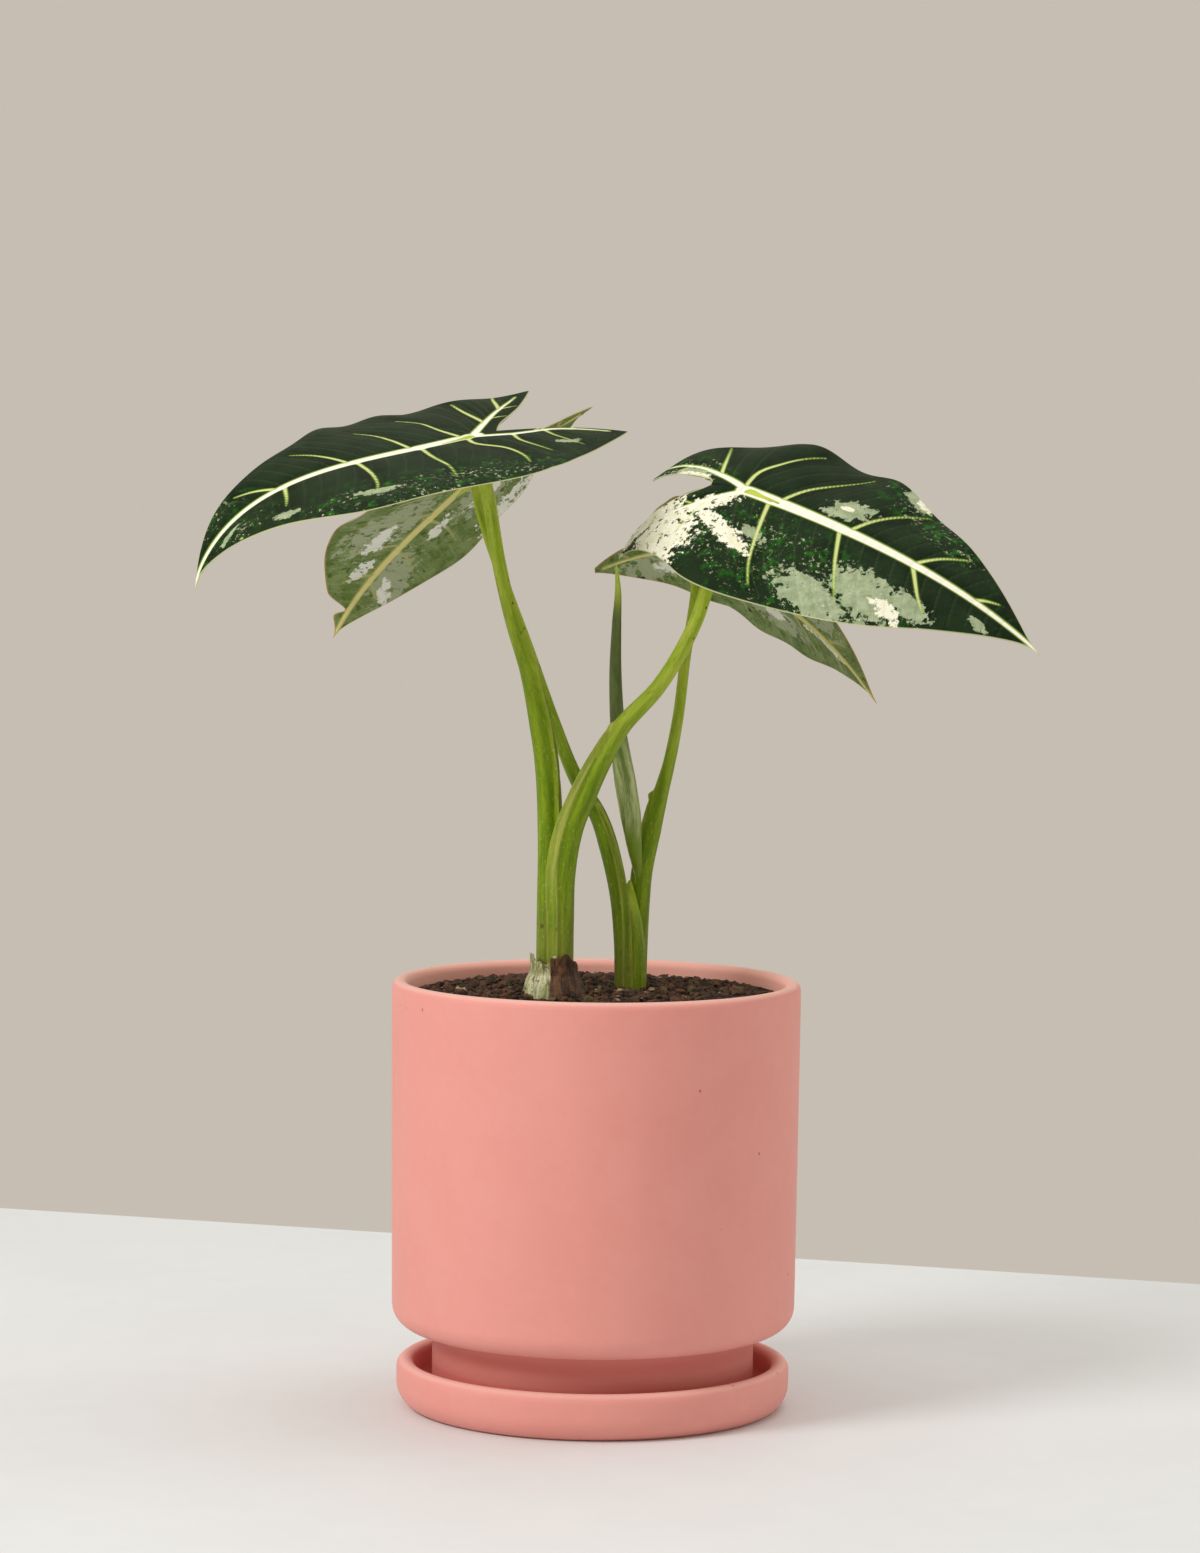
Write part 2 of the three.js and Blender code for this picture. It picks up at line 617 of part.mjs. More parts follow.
const plant = new THREE.Group();
plant.position.set(0, 0, soilTop);
Object.entries(CORMS).forEach(([name, corm]) => {
  plant.add(named(name, geometryOf(cormSolid(corm, 0)), matte(0x8a6a48, 0.8)));
});
plant.add(named('papery_sheath', scaleGeometry(SCALES.papery_sheath), matte(0xcfd3b8, 0.75)));
plant.add(named('brown_sheath', scaleGeometry(SCALES.brown_sheath), matte(0x4a2c1a, 0.8)));
Object.entries(STEMS).forEach(([name, stem]) => {
  plant.add(named(name, stemGeometry(stemWithBlade(stem), stem.sheath), matte(GREEN_STEM, 0.45)));
});
Object.entries(BLADES).forEach(([name, blade]) => {
  plant.add(named(name, bladeGeometry(blade), matte(0x1f3a22, 0.45)));
});
plant.add(named('spear_leaf', stemGeometry(SPEAR_PATH, NO_SHEATH), matte(0x5d7444, 0.5)));

const group = new THREE.Group();
group.add(named('saucer', saucerGeometry(), matte(POT_COLOUR, 0.6)));
group.add(named('pot', potGeometry(), matte(POT_COLOUR, 0.6)));
group.add(named('soil', geometryOf(soilSolid()), matte(0x3a2a20, 0.95)));
group.add(plant);

export default group;
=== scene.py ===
import json
import math

import bpy
import numpy as np
from mathutils import Matrix, Vector, noise

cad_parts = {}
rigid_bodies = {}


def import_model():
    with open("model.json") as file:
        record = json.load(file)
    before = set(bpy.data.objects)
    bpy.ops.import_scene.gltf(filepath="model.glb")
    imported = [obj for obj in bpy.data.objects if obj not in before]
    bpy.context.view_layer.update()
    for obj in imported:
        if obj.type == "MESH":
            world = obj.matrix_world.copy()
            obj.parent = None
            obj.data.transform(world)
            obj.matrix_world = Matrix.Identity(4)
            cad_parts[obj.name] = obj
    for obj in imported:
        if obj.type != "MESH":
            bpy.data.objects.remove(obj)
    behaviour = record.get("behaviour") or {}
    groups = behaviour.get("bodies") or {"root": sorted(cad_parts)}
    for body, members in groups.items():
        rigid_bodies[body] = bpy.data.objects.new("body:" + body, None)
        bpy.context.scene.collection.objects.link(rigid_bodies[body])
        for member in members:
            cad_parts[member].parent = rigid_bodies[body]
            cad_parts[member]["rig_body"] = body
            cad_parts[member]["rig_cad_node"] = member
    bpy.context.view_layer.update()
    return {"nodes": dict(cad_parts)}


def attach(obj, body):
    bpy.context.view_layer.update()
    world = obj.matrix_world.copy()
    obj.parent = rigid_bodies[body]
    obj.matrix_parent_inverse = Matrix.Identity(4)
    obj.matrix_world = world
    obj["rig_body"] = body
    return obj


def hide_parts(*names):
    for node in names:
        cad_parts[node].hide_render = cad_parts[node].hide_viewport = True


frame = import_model()

# ---------------------------------------------------------------- saucer
# A round saucer thrown in pink clay and left unglazed, with a bellied side and a soft lip.
# Its profile is drawn by extruding one corner along it, and spun round the upright axis.

MM = 0.001
TURNS = 128


def arc(radius, height, size, start, end, steps):
    points = []
    for step in range(steps + 1):
        angle = math.radians(start + (end - start) * step / steps)
        points.append((radius + size * math.cos(angle), height + size * math.sin(angle)))
    return points


def edit(piece):
    bpy.ops.object.select_all(action="DESELECT")
    bpy.context.view_layer.objects.active = piece
    piece.select_set(True)
    bpy.ops.object.mode_set(mode="EDIT")
    bpy.ops.mesh.select_all(action="SELECT")


def close_up(piece):
    edit(piece)
    bpy.ops.mesh.remove_doubles(threshold=2e-6)
    bpy.ops.mesh.normals_make_consistent(inside=False)
    bpy.ops.object.mode_set(mode="OBJECT")
    bpy.ops.object.shade_smooth_by_angle(angle=math.radians(50))


def thrown(name, profile):
    bpy.ops.object.select_all(action="DESELECT")
    bpy.ops.mesh.primitive_plane_add(size=MM)
    piece = bpy.context.object
    piece.name = name
    edit(piece)
    bpy.ops.mesh.merge(type="CENTER")
    bpy.ops.transform.translate(value=(profile[0][0] * MM, 0, profile[0][1] * MM))
    for (radius, height), (next_radius, next_height) in zip(profile, profile[1:]):
        step = ((next_radius - radius) * MM, 0, (next_height - height) * MM)
        bpy.ops.mesh.extrude_region_move(TRANSFORM_OT_translate={"value": step})
    bpy.ops.mesh.select_all(action="SELECT")
    bpy.ops.mesh.spin(steps=TURNS, angle=2 * math.pi, center=(0, 0, 0), axis=(0, 0, 1))
    bpy.ops.object.mode_set(mode="OBJECT")
    close_up(piece)
    return piece


def colour(red, green, blue):
    levels = [level / 255 for level in (red, green, blue)]
    return [v / 12.92 if v <= 0.04045 else ((v + 0.055) / 1.055) ** 2.4 for v in levels] + [1]


def put(tree, kind, feeds, **settings):
    node = tree.nodes.new(kind)
    for key, value in settings.items():
        setattr(node, key, value)
    for key, value in feeds.items():
        if isinstance(value, bpy.types.NodeSocket):
            tree.links.new(value, node.inputs[key])
        else:
            node.inputs[key].default_value = value
    return node


def mixed(tree, share, first, second):
    node = put(tree, "ShaderNodeMix", {0: share, 6: first, 7: second}, data_type="RGBA")
    return node.outputs[2]


def sum_of(tree, first, second, operation="ADD"):
    return put(tree, "ShaderNodeMath", {0: first, 1: second}, operation=operation).outputs[0]


def product(tree, first, second):
    return sum_of(tree, first, second, "MULTIPLY")


def laid(tree, base, mask, share, paint):
    """A second colour laid over a base where a mask is 1, at a share of its full strength."""
    return mixed(tree, product(tree, mask, share), base, paint)


def ramp(tree, value, low, high):
    feeds = {"Value": value, "From Min": low, "From Max": high}
    node = put(tree, "ShaderNodeMapRange", feeds, interpolation_type="SMOOTHSTEP")
    return node.outputs["Result"]


def cloud(tree, where, scale, detail=3.0, roughness=0.5):
    feeds = {"Vector": where, "Scale": scale, "Detail": detail, "Roughness": roughness}
    return put(tree, "ShaderNodeTexNoise", feeds).outputs["Fac"]


def group(name, inputs, outputs):
    tree = bpy.data.node_groups.new(name, "ShaderNodeTree")
    for label, kind in inputs:
        tree.interface.new_socket(name=label, in_out="INPUT", socket_type=kind)
    for label, kind in outputs:
        tree.interface.new_socket(name=label, in_out="OUTPUT", socket_type=kind)
    start = tree.nodes.new("NodeGroupInput")
    end = tree.nodes.new("NodeGroupOutput")
    return tree, start.outputs, end.inputs


def effect(tree, made, feeds):
    return put(tree, "ShaderNodeGroup", feeds, node_tree=made).outputs


# Mottling: two colours that drift into each other, large drifts first and small ones on top.
mottling, source, result = group(
    "Mottling",
    [("Where", "NodeSocketVector"), ("Scale", "NodeSocketFloat"),
     ("First", "NodeSocketColor"), ("Second", "NodeSocketColor")],
    [("Colour", "NodeSocketColor")],
)
broad = cloud(mottling, source["Where"], source["Scale"], 4.0, 0.6)
small_scale = product(mottling, source["Scale"], 7.3)
close = cloud(mottling, source["Where"], small_scale, 2.0, 0.6)
both = sum_of(mottling, product(mottling, broad, 0.7), product(mottling, close, 0.3))
share = ramp(mottling, both, 0.36, 0.64)
mottling.links.new(mixed(mottling, share, source["First"], source["Second"]), result["Colour"])

# Flecks: small scattered spots, each in a cell of its own, more of them as Amount rises.
flecks, source, result = group(
    "Flecks",
    [("Where", "NodeSocketVector"), ("Scale", "NodeSocketFloat"), ("Amount", "NodeSocketFloat")],
    [("Mask", "NodeSocketFloat")],
)
cells = put(flecks, "ShaderNodeTexVoronoi", {"Vector": source["Where"], "Scale": source["Scale"]})
chance = put(flecks, "ShaderNodeSeparateColor", {0: cells.outputs["Color"]}).outputs[0]
picked = sum_of(flecks, chance, source["Amount"], "LESS_THAN")
spot = ramp(flecks, cells.outputs["Distance"], 0.42, 0.2)
flecks.links.new(product(flecks, picked, spot), result["Mask"])


def mottled(tree, where, scale, first, second):
    feeds = {"Where": where, "Scale": scale, "First": first, "Second": second}
    return effect(tree, mottling, feeds)["Colour"]


def scattered(tree, where, scale, amount):
    return effect(tree, flecks, {"Where": where, "Scale": scale, "Amount": amount})["Mask"]


def new_material(name):
    made = bpy.data.materials.new(name)
    made.use_nodes = True
    return made, made.node_tree, made.node_tree.nodes["Principled BSDF"]


def wired(tree, value, shader, name):
    tree.links.new(value, shader.inputs[name])


def bumped(tree, shader, height, distance):
    node = put(tree, "ShaderNodeBump", {"Height": height, "Strength": 1.0, "Distance": distance})
    wired(tree, node.outputs["Normal"], shader, "Normal")


def roughened(tree, shader, value, low, high):
    node = put(tree, "ShaderNodeMapRange", {"Value": value, "To Min": low, "To Max": high})
    wired(tree, node.outputs["Result"], shader, "Roughness")


def object_place(tree):
    return put(tree, "ShaderNodeTexCoord", {}).outputs["Object"]


def stretched(tree, where, scale):
    return put(tree, "ShaderNodeMapping", {"Vector": where, "Scale": scale}).outputs["Vector"]


def read_attribute(tree, name, output="Fac"):
    return put(tree, "ShaderNodeAttribute", {}, attribute_name=name).outputs[output]


# Bisque clay: a fine dry grain, faint clouds and a few pinholes. The lips carry a painted highlight,
# the foot that stands inside the saucer is a deeper pink of painted shade, and the wall over the
# potting mix is painted paler as painted light.
bisque, tree, shader = new_material("bisque_clay")
where = object_place(tree)
clay = mottled(tree, where, 34.0, colour(229, 151, 141), colour(231, 155, 145))
bloom = ramp(tree, cloud(tree, where, 90.0, 5.0, 0.65), 0.5, 0.8)
clay_colour = laid(tree, clay, bloom, 0.1, colour(238, 168, 158))
height = put(tree, "ShaderNodeSeparateXYZ", {"Vector": where}).outputs["Z"]
# Painted highlight: the lips of the pot and the saucer are painted paler where light catches them.
pot_lip_highlight = ramp(tree, height, 0.1444, 0.1459)
saucer_rise = ramp(tree, height, 0.0142, 0.0158)
saucer_lip_highlight = product(tree, saucer_rise, ramp(tree, height, 0.022, 0.018))
painted_lip_highlight = product(tree, sum_of(tree, pot_lip_highlight, saucer_lip_highlight), 0.6)
clay_colour = mixed(tree, painted_lip_highlight, clay_colour, colour(252, 205, 194))
flat = put(tree, "ShaderNodeVectorMath", {0: where, 1: (1.0, 1.0, 0.0)}, operation="MULTIPLY")
radius = put(tree, "ShaderNodeVectorMath", {0: flat.outputs["Vector"]}, operation="LENGTH").outputs["Value"]
# Painted shade: the foot inside the saucer and the bottom of the belly are painted a deeper pink.
inward = ramp(tree, radius, 0.0625, 0.056)
painted_foot_shade = product(tree, inward, ramp(tree, height, 0.0285, 0.0225))
clay_colour = laid(tree, clay_colour, painted_foot_shade, 0.7, colour(206, 104, 94))
# Painted light: the inner wall above the potting mix is painted paler where light falls into the pot.
inside = ramp(tree, radius, 0.0662, 0.0648)
inner = product(tree, inside, ramp(tree, height, 0.12, 0.126))
clay_colour = laid(tree, clay_colour, inner, 0.9, colour(255, 186, 172))
pinholes = scattered(tree, where, 640.0, 0.0012)
clay_colour = laid(tree, clay_colour, pinholes, 0.6, colour(120, 60, 50))
wired(tree, clay_colour, shader, "Base Color")
grain = cloud(tree, where, 1500.0, 3.0, 0.7)
roughened(tree, shader, grain, 0.56, 0.74)
rings = stretched(tree, where, (0.12, 0.12, 1.0))
throwing = product(tree, cloud(tree, rings, 330.0, 2.0), 0.6)
rough_skin = sum_of(tree, product(tree, grain, 0.35), throwing)
bumped(tree, shader, sum_of(tree, rough_skin, pinholes, "SUBTRACT"), 0.00012)
shader.inputs["Sheen Weight"].default_value = 0.08
shader.inputs["Sheen Roughness"].default_value = 0.4

saucer = thrown("saucer_turned", [
    (0, 0), (61.4, 0), (62.4, 0.25), (64.1, 1.2), (65.5, 2.8), (66.5, 4.6), (67.1, 6.6), (67.2, 8.4),
    (67.2, 10.5), *arc(64.1, 12.9, 3.1, 0, 180, 14), *arc(58, 9, 3, 360, 270, 8), (54, 6.05), (0, 6),
])
saucer.data.materials.append(bisque)
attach(saucer, "root")
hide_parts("saucer")

# ---------------------------------------------------------------- pot
# A straight-sided cylinder pot of the same clay, on a recessed foot that stands in the saucer.
# It is thrown with a rounded lip and a rounded bottom corner, and has one drain hole.

pot = thrown("pot_turned", [
    (7, 6.8), (7.5, 6.3), (53.6, 6.3), (54.6, 6.7), (55, 7.7), (55, 24), (55.4, 26), (56.6, 27),
    *arc(60.9, 35, 8, 270, 360, 12), (69.3, 80), (69.7, 136), *arc(67, 143.3, 2.7, 0, 180, 14),
    (64.3, 141), (64.3, 100), *arc(60.9, 36, 2.6, 360, 270, 6), (50.6, 33), (49.6, 32), (49.6, 14.3),
    (47.6, 12.3), (7.5, 12.3), (7, 11.8), (7, 6.8),
])
pot.data.materials.append(bisque)
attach(pot, "root")
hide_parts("pot")

# ---------------------------------------------------------------- potting mix
# Coarse bark-and-coir mix, filled to just under the lip and heaped a little at the middle.
# The body is thrown as one plug; its top is roughened, and loose crumbs and chips lie on it.

SOIL_TOP = 143.5
SOIL_RADIUS = 64.0
SOIL_EDGE = 141
SOIL_HEAP = 2.5


def heaped(share):
    return SOIL_EDGE + SOIL_HEAP * (1 - share**2)


top_rings = [(SOIL_RADIUS * share, heaped(share)) for share in np.linspace(0.99, 0.0, 56)]
potting_mix = thrown("potting_mix", [
    (0, 12.6), (47.3, 12.6), (49.3, 14.6), (49.3, 32.3), (50.3, 33.3), *arc(60.6, 35.9, 2.6, 270, 360, 5),
    (SOIL_RADIUS, 100), (SOIL_RADIUS, 140.6), *top_rings,
])


def soil_height(x, y):
    share = math.hypot(x, y) / (SOIL_RADIUS * MM)
    lump = noise.fractal(Vector((x, y, 0)) * 260, 1.0, 2.0, 4) * 1.1
    clod = noise.noise(Vector((x, y, 3)) * 90) * 1.5
    return (lump + clod) * MM * max(0.0, 1 - share**6) - 0.0006 - 0.0006 * share**2


for corner in potting_mix.data.vertices:
    if corner.co.z > (SOIL_EDGE - 0.2) * MM:
        corner.co.z += soil_height(corner.co.x, corner.co.y)

rng = np.random.default_rng(7)
bpy.ops.object.select_all(action="DESELECT")
bpy.ops.mesh.primitive_ico_sphere_add(subdivisions=1, radius=1)
crumb = bpy.context.object
crumb_corners = np.array([corner.co for corner in crumb.data.vertices])
crumb_faces = np.array([list(face.vertices) for face in crumb.data.polygons])
bpy.data.objects.remove(crumb)
CRUMBS = 2600
CHIP_SHARE = 0.22
SUNK_SHARE = 0.25
places, faces, tints = [], [], []
for number in range(CRUMBS):
    spread = SOIL_RADIUS * MM * math.sqrt(rng.uniform(0, 0.965))
    turn = rng.uniform(0, 2 * math.pi)
    x, y = spread * math.cos(turn), spread * math.sin(turn)
    chip = rng.uniform() < CHIP_SHARE
    size = rng.uniform(0.6, 2.0) if not chip else rng.uniform(1.2, 3.0)
    shape = (1, rng.uniform(0.55, 0.95), rng.uniform(0.5, 0.9)) if not chip else (1, 0.42, 0.2)
    uneven = crumb_corners * (1 + rng.uniform(-0.22, 0.22, (len(crumb_corners), 1)))
    lean = Matrix.Rotation(rng.uniform(-0.5, 0.5), 3, "X") @ Matrix.Rotation(rng.uniform(-0.5, 0.5), 3, "Y")
    pose = np.array(Matrix.Rotation(rng.uniform(0, 6.28), 3, "Z") @ lean)
    share = spread / (SOIL_RADIUS * MM)
    height = (heaped(share) + size * SUNK_SHARE) * MM + soil_height(x, y)
    body = (uneven * shape * size * MM) @ pose.T + (x, y, height)
    reach = np.hypot(body[:, 0], body[:, 1])
    shrink = np.minimum(1, SOIL_RADIUS * MM / np.maximum(reach, 1e-9))
    body[:, :2] *= shrink[:, None]
    faces.append(crumb_faces + len(crumb_corners) * number)
    places.append(body)
    tints.append(np.full(len(body), rng.uniform(0, 1)))
crumbs = bpy.data.meshes.new("crumbs")
crumbs.from_pydata(np.concatenate(places).tolist(), [], np.concatenate(faces).tolist())
tint = crumbs.attributes.new("tint", "FLOAT", "POINT")
tint.data.foreach_set("value", np.concatenate(tints))
loose = bpy.data.objects.new("crumbs", crumbs)
bpy.context.scene.collection.objects.link(loose)
bpy.ops.object.select_all(action="DESELECT")
loose.select_set(True)
potting_mix.select_set(True)
bpy.context.view_layer.objects.active = potting_mix
bpy.ops.object.join()

earth, tree, shader = new_material("bark_and_coir")
where = object_place(tree)
tint = read_attribute(tree, "tint")
ground = mottled(tree, where, 150.0, colour(34, 22, 13), colour(76, 53, 34))
ground = mixed(tree, ramp(tree, tint, 0.35, 0.75), ground, colour(92, 62, 42))
ground = laid(tree, ground, ramp(tree, tint, 0.84, 0.86), 0.8, colour(110, 70, 46))
ground = laid(tree, ground, ramp(tree, tint, 0.92, 0.93), 0.8, colour(92, 84, 46))
ground = mixed(tree, ramp(tree, tint, 0.975, 0.98), ground, colour(176, 152, 120))
fibre = cloud(tree, where, 900.0, 4.0, 0.7)
ground = laid(tree, ground, ramp(tree, fibre, 0.5, 0.8), 0.5, colour(26, 16, 10))
wired(tree, ground, shader, "Base Color")
roughened(tree, shader, fibre, 0.78, 1.0)
bumped(tree, shader, fibre, 0.0008)
potting_mix.data.materials.clear()
potting_mix.data.materials.append(earth)
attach(potting_mix, "root")
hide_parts("soil")

# ---------------------------------------------------------------- corms
# Two swollen brown necks half sunk in the mix, each with its roots, that the stems grow from.
# Each starts as the plain solid, is merged and subdivided, and gets its leaf-scar rings.


def grown_copy(node, name, levels):
    piece = frame["nodes"][node].copy()
    piece.data = piece.data.copy()
    piece.name = name
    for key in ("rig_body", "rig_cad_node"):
        if key in piece:
            del piece[key]
    piece.parent = None
    bpy.context.scene.collection.objects.link(piece)
    piece.hide_viewport = False
    piece.hide_render = False
    piece.data.materials.clear()
    close_up(piece)
    smooth = piece.modifiers.new("smooth", "SUBSURF")
    smooth.levels = levels
    smooth.render_levels = levels
    bpy.ops.object.modifier_apply(modifier=smooth.name)
    return piece


bark, tree, shader = new_material("corm_bark")
where = object_place(tree)
husk = mottled(tree, where, 190.0, colour(74, 48, 28), colour(132, 104, 60))
strands = stretched(tree, where, (1.0, 1.0, 0.16))
strand = cloud(tree, strands, 1400.0, 3.0, 0.6)
husk = laid(tree, husk, ramp(tree, strand, 0.45, 0.7), 0.6, colour(52, 31, 20))
wired(tree, husk, shader, "Base Color")
roughened(tree, shader, strand, 0.6, 0.9)
bumped(tree, shader, strand, 0.0005)

for node in ("corm_left", "corm_right"):
    corm = grown_copy(node, node + "_grown", 2)
    for corner in corm.data.vertices:
        ring = math.sin(corner.co.z * 2400 + noise.noise(corner.co * 120) * 3) * 0.00018
        rough = noise.fractal(corner.co * 420, 1.0, 2.0, 3) * 0.00022
        corner.co += corner.normal * (ring + rough)
    corm.data.materials.append(bark)
    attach(corm, "root")
    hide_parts(node)

# ---------------------------------------------------------------- leaf blades
# Four arrow-shaped leaves: velvety dark green with cream ribs above, pale grey-green beneath.
# Each is two sheets of one grid, formed on the leaf's own curves and welded along the margin.

BLADES = {
    "blade_front_left": dict(
        junction=(-44, -10, 186.5), heading=216.7, pitch=-12, roll=-11, length=120.5, sinus=10.7,
        droop=-8.7, tip_droop=78, lobe_droop=0, sweep=-17.4, twist=-8.5, camber=11.7, waves=4,
        left=dict(width=45.8, lobe=51.4, inset=0.44, full=1.2, rise=3.9, lobe_rise=-8, sag=0.09, wave=0,
            phase=0, costa=[(0, 0), (-12, 7), (-28, 10), (-45, 19)],
            veins=[[(2, 0), (5, 9), (1, 20), (1, 30), (3, 37)], [(21, 0), (24, 12), (25, 24), (28, 34)],
            [(46, 0), (48, 14), (51, 24), (54, 29)], [(73, 0), (77, 9), (80, 14)],
            [(-24, 8), (-23, 16), (-26, 28)], [(-12, 7), (-9, 16), (-11, 30)]]),
        right=dict(width=43.4, lobe=46.2, inset=0.65, full=0.78, rise=5, lobe_rise=2, sag=0, wave=0.8,
            phase=-31, costa=[(0, 0), (-12, 9), (-22, 16), (-39, 27)],
            veins=[[(3, 0), (5, 12), (5, 23), (10, 31)], [(24, 0), (25, 12), (27, 21), (31, 27)],
            [(48, 0), (51, 8), (55, 15), (60, 20)], [(75, 0), (81, 6), (87, 10)],
            [(-12, 9), (-14, 23), (-17, 35)], [(-25, 18), (-30, 28), (-33, 33)]]),
        cream=[],
        grey=[(83, 20, 5, 2.4, -20), (54, 30, 8, 2.4, -14), (-22, 24, 6, 2, 0), (100, 6, 5, 1.4, 10)],
        flecks=[(40, 40, 80, 22, -8), (100, 8, 26, 9, -8), (96, -8, 20, 7, 0)],
    ),
    "blade_front_right": dict(
        junction=(49.2, -10, 169.2), heading=-31.9, pitch=-16.6, roll=31.3, length=119.9, sinus=15,
        droop=12.5, tip_droop=11.9, lobe_droop=78, sweep=7.3, twist=8, camber=17.5, waves=3.2,
        left=dict(width=37.6, lobe=49, inset=0.43, full=0.91, rise=2, lobe_rise=0, sag=0.26, wave=2.4,
            phase=53, costa=[(0, 0), (-15, 6), (-25, 11), (-43, 19)],
            veins=[[(-2, 0), (-3, 11), (1, 20), (5, 26), (10, 32)], [(12, 0), (16, 10), (22, 19), (31, 31)],
            [(40, 0), (44, 9), (50, 17), (57, 24)], [(66, 0), (72, 8), (80, 14)],
            [(90, 0), (94, 3), (98, 5)], [(-14, 5), (-18, 16), (-22, 27)]]),
        right=dict(width=43.6, lobe=55.6, inset=0.42, full=1.03, rise=-2.6, lobe_rise=0, sag=0.53, wave=0,
            phase=0, costa=[(0, 0), (-11, 8), (-24, 14), (-50, 18)],
            veins=[[(9, 0), (14, 15), (19, 28), (24, 36)], [(37, 0), (45, 15), (53, 27)],
            [(66, 0), (75, 10), (81, 15)], [(-12, 9), (-14, 20), (-18, 32)]]),
        cream=[(-22, -27, 19, 19, 0), (-40, -13, 22, 10, 12), (-10, -10, 14, 5, 30), (2, -20, 19, 4, -20),
            (71, -22, 9, 3.4, -18), (-27, 6, 12, 2.5, -16), (34, 9, 3, 1.5, 10), (52, 28, 4, 2, -25)],
        grey=[(46, -31, 18, 7.5, -10), (61, -21, 17, 9.5, -14), (76, -16, 10, 5, -15), (35, 9, 9, 5, 25),
            (50, 28, 7, 3.5, -20), (-28, 7, 12, 5, -10), (98, -7, 5, 2, -10), (13, -17, 6, 2.5, -20)],
        flecks=[(30, -26, 80, 26, -8), (60, 22, 40, 12, -18), (-30, 10, 26, 12, 0)],
    ),
    "blade_back_left": dict(
        junction=(-44.4, 40, 173.3), heading=135.2, pitch=-33, roll=-12.7, length=94.9, sinus=10,
        droop=-0.7, tip_droop=24, lobe_droop=10.5, sweep=-1, twist=37.8, camber=5.7, waves=3,
        left=dict(width=39.4, lobe=38.2, inset=0.56, full=1.01, rise=3.7, lobe_rise=-1, sag=0.02, wave=0.8,
            phase=0, tear=(82, 2.6, 0.85), costa=[(0, 0), (-11, 9), (-22, 14), (-35, 20)],
            veins=[[(5, 0), (10, 14), (18, 28)], [(24, 0), (28, 12), (36, 26)], [(44, 0), (48, 9), (55, 17)],
            [(62, 0), (66, 6), (70, 9)], [(-11, 9), (-10, 20), (-8, 30)]]),
        right=dict(width=40, lobe=44.5, inset=0.52, full=1.04, rise=3.7, lobe_rise=-3, sag=0.09, wave=0.8,
            phase=90, costa=[(0, 0), (-12, 8), (-26, 14), (-40, 19)],
            veins=[[(8, 0), (14, 14), (21, 27)], [(28, 0), (33, 12), (40, 22)], [(48, 0), (52, 8), (58, 14)],
            [(66, 0), (70, 4), (74, 7)], [(-12, 8), (-12, 20), (-10, 32)]]),
        cream=[(22, -35, 18, 5.5, 12), (16, -20, 12, 4, 20), (44, 10, 12, 4, 0), (34, -10, 9, 3, -10),
            (62, 6, 8, 3, 10), (70, -9, 8, 3, -25)],
        grey=[(34, 14, 26, 12, 8), (-14, -20, 12, 7, 0), (10, -18, 22, 12, 0), (62, -8, 18, 9, -15)],
        flecks=[(20, -20, 60, 20, -10)],
    ),
    "blade_back_right": dict(
        junction=(34.8, 38, 148.3), heading=-34.3, pitch=-22.4, roll=-35.9, length=88.3, sinus=11.1,
        droop=19.7, tip_droop=13, lobe_droop=32.8, sweep=2.2, twist=-8.6, camber=10.5, waves=3,
        left=dict(width=38.1, lobe=55.8, inset=0.56, full=1.03, rise=5.4, lobe_rise=-9, sag=0.28, wave=0.6,
            phase=40, costa=[(0, 0), (-14, 8), (-30, 14), (-50, 20)],
            veins=[[(4, 0), (8, 13), (14, 28)], [(22, 0), (27, 12), (35, 24)], [(42, 0), (46, 9), (53, 16)],
            [(60, 0), (64, 5), (68, 8)], [(-14, 8), (-14, 20), (-14, 31)]]),
        right=dict(width=36, lobe=16, inset=0.4, full=1, rise=5.8, lobe_rise=-17, sag=0.12, wave=0,
            phase=0, costa=[(0, 0), (-7, 5), (-13, 10)],
            veins=[[(4, 0), (8, 13), (14, 27)], [(22, 0), (27, 12), (34, 23)], [(42, 0), (46, 9), (52, 16)],
            [(60, 0), (64, 5), (68, 8)]]),
        cream=[(-20, 20, 10, 4, -25), (58, 4, 12, 3, -8), (48, -10, 9, 3, 10), (30, 16, 9, 3, -20)],
        grey=[(30, 18, 18, 8, -12), (50, -10, 16, 8, 10), (10, -20, 8, 4, 20), (-30, 22, 16, 8, -15)],
        flecks=[(20, 20, 60, 20, -10)],
    ),
}


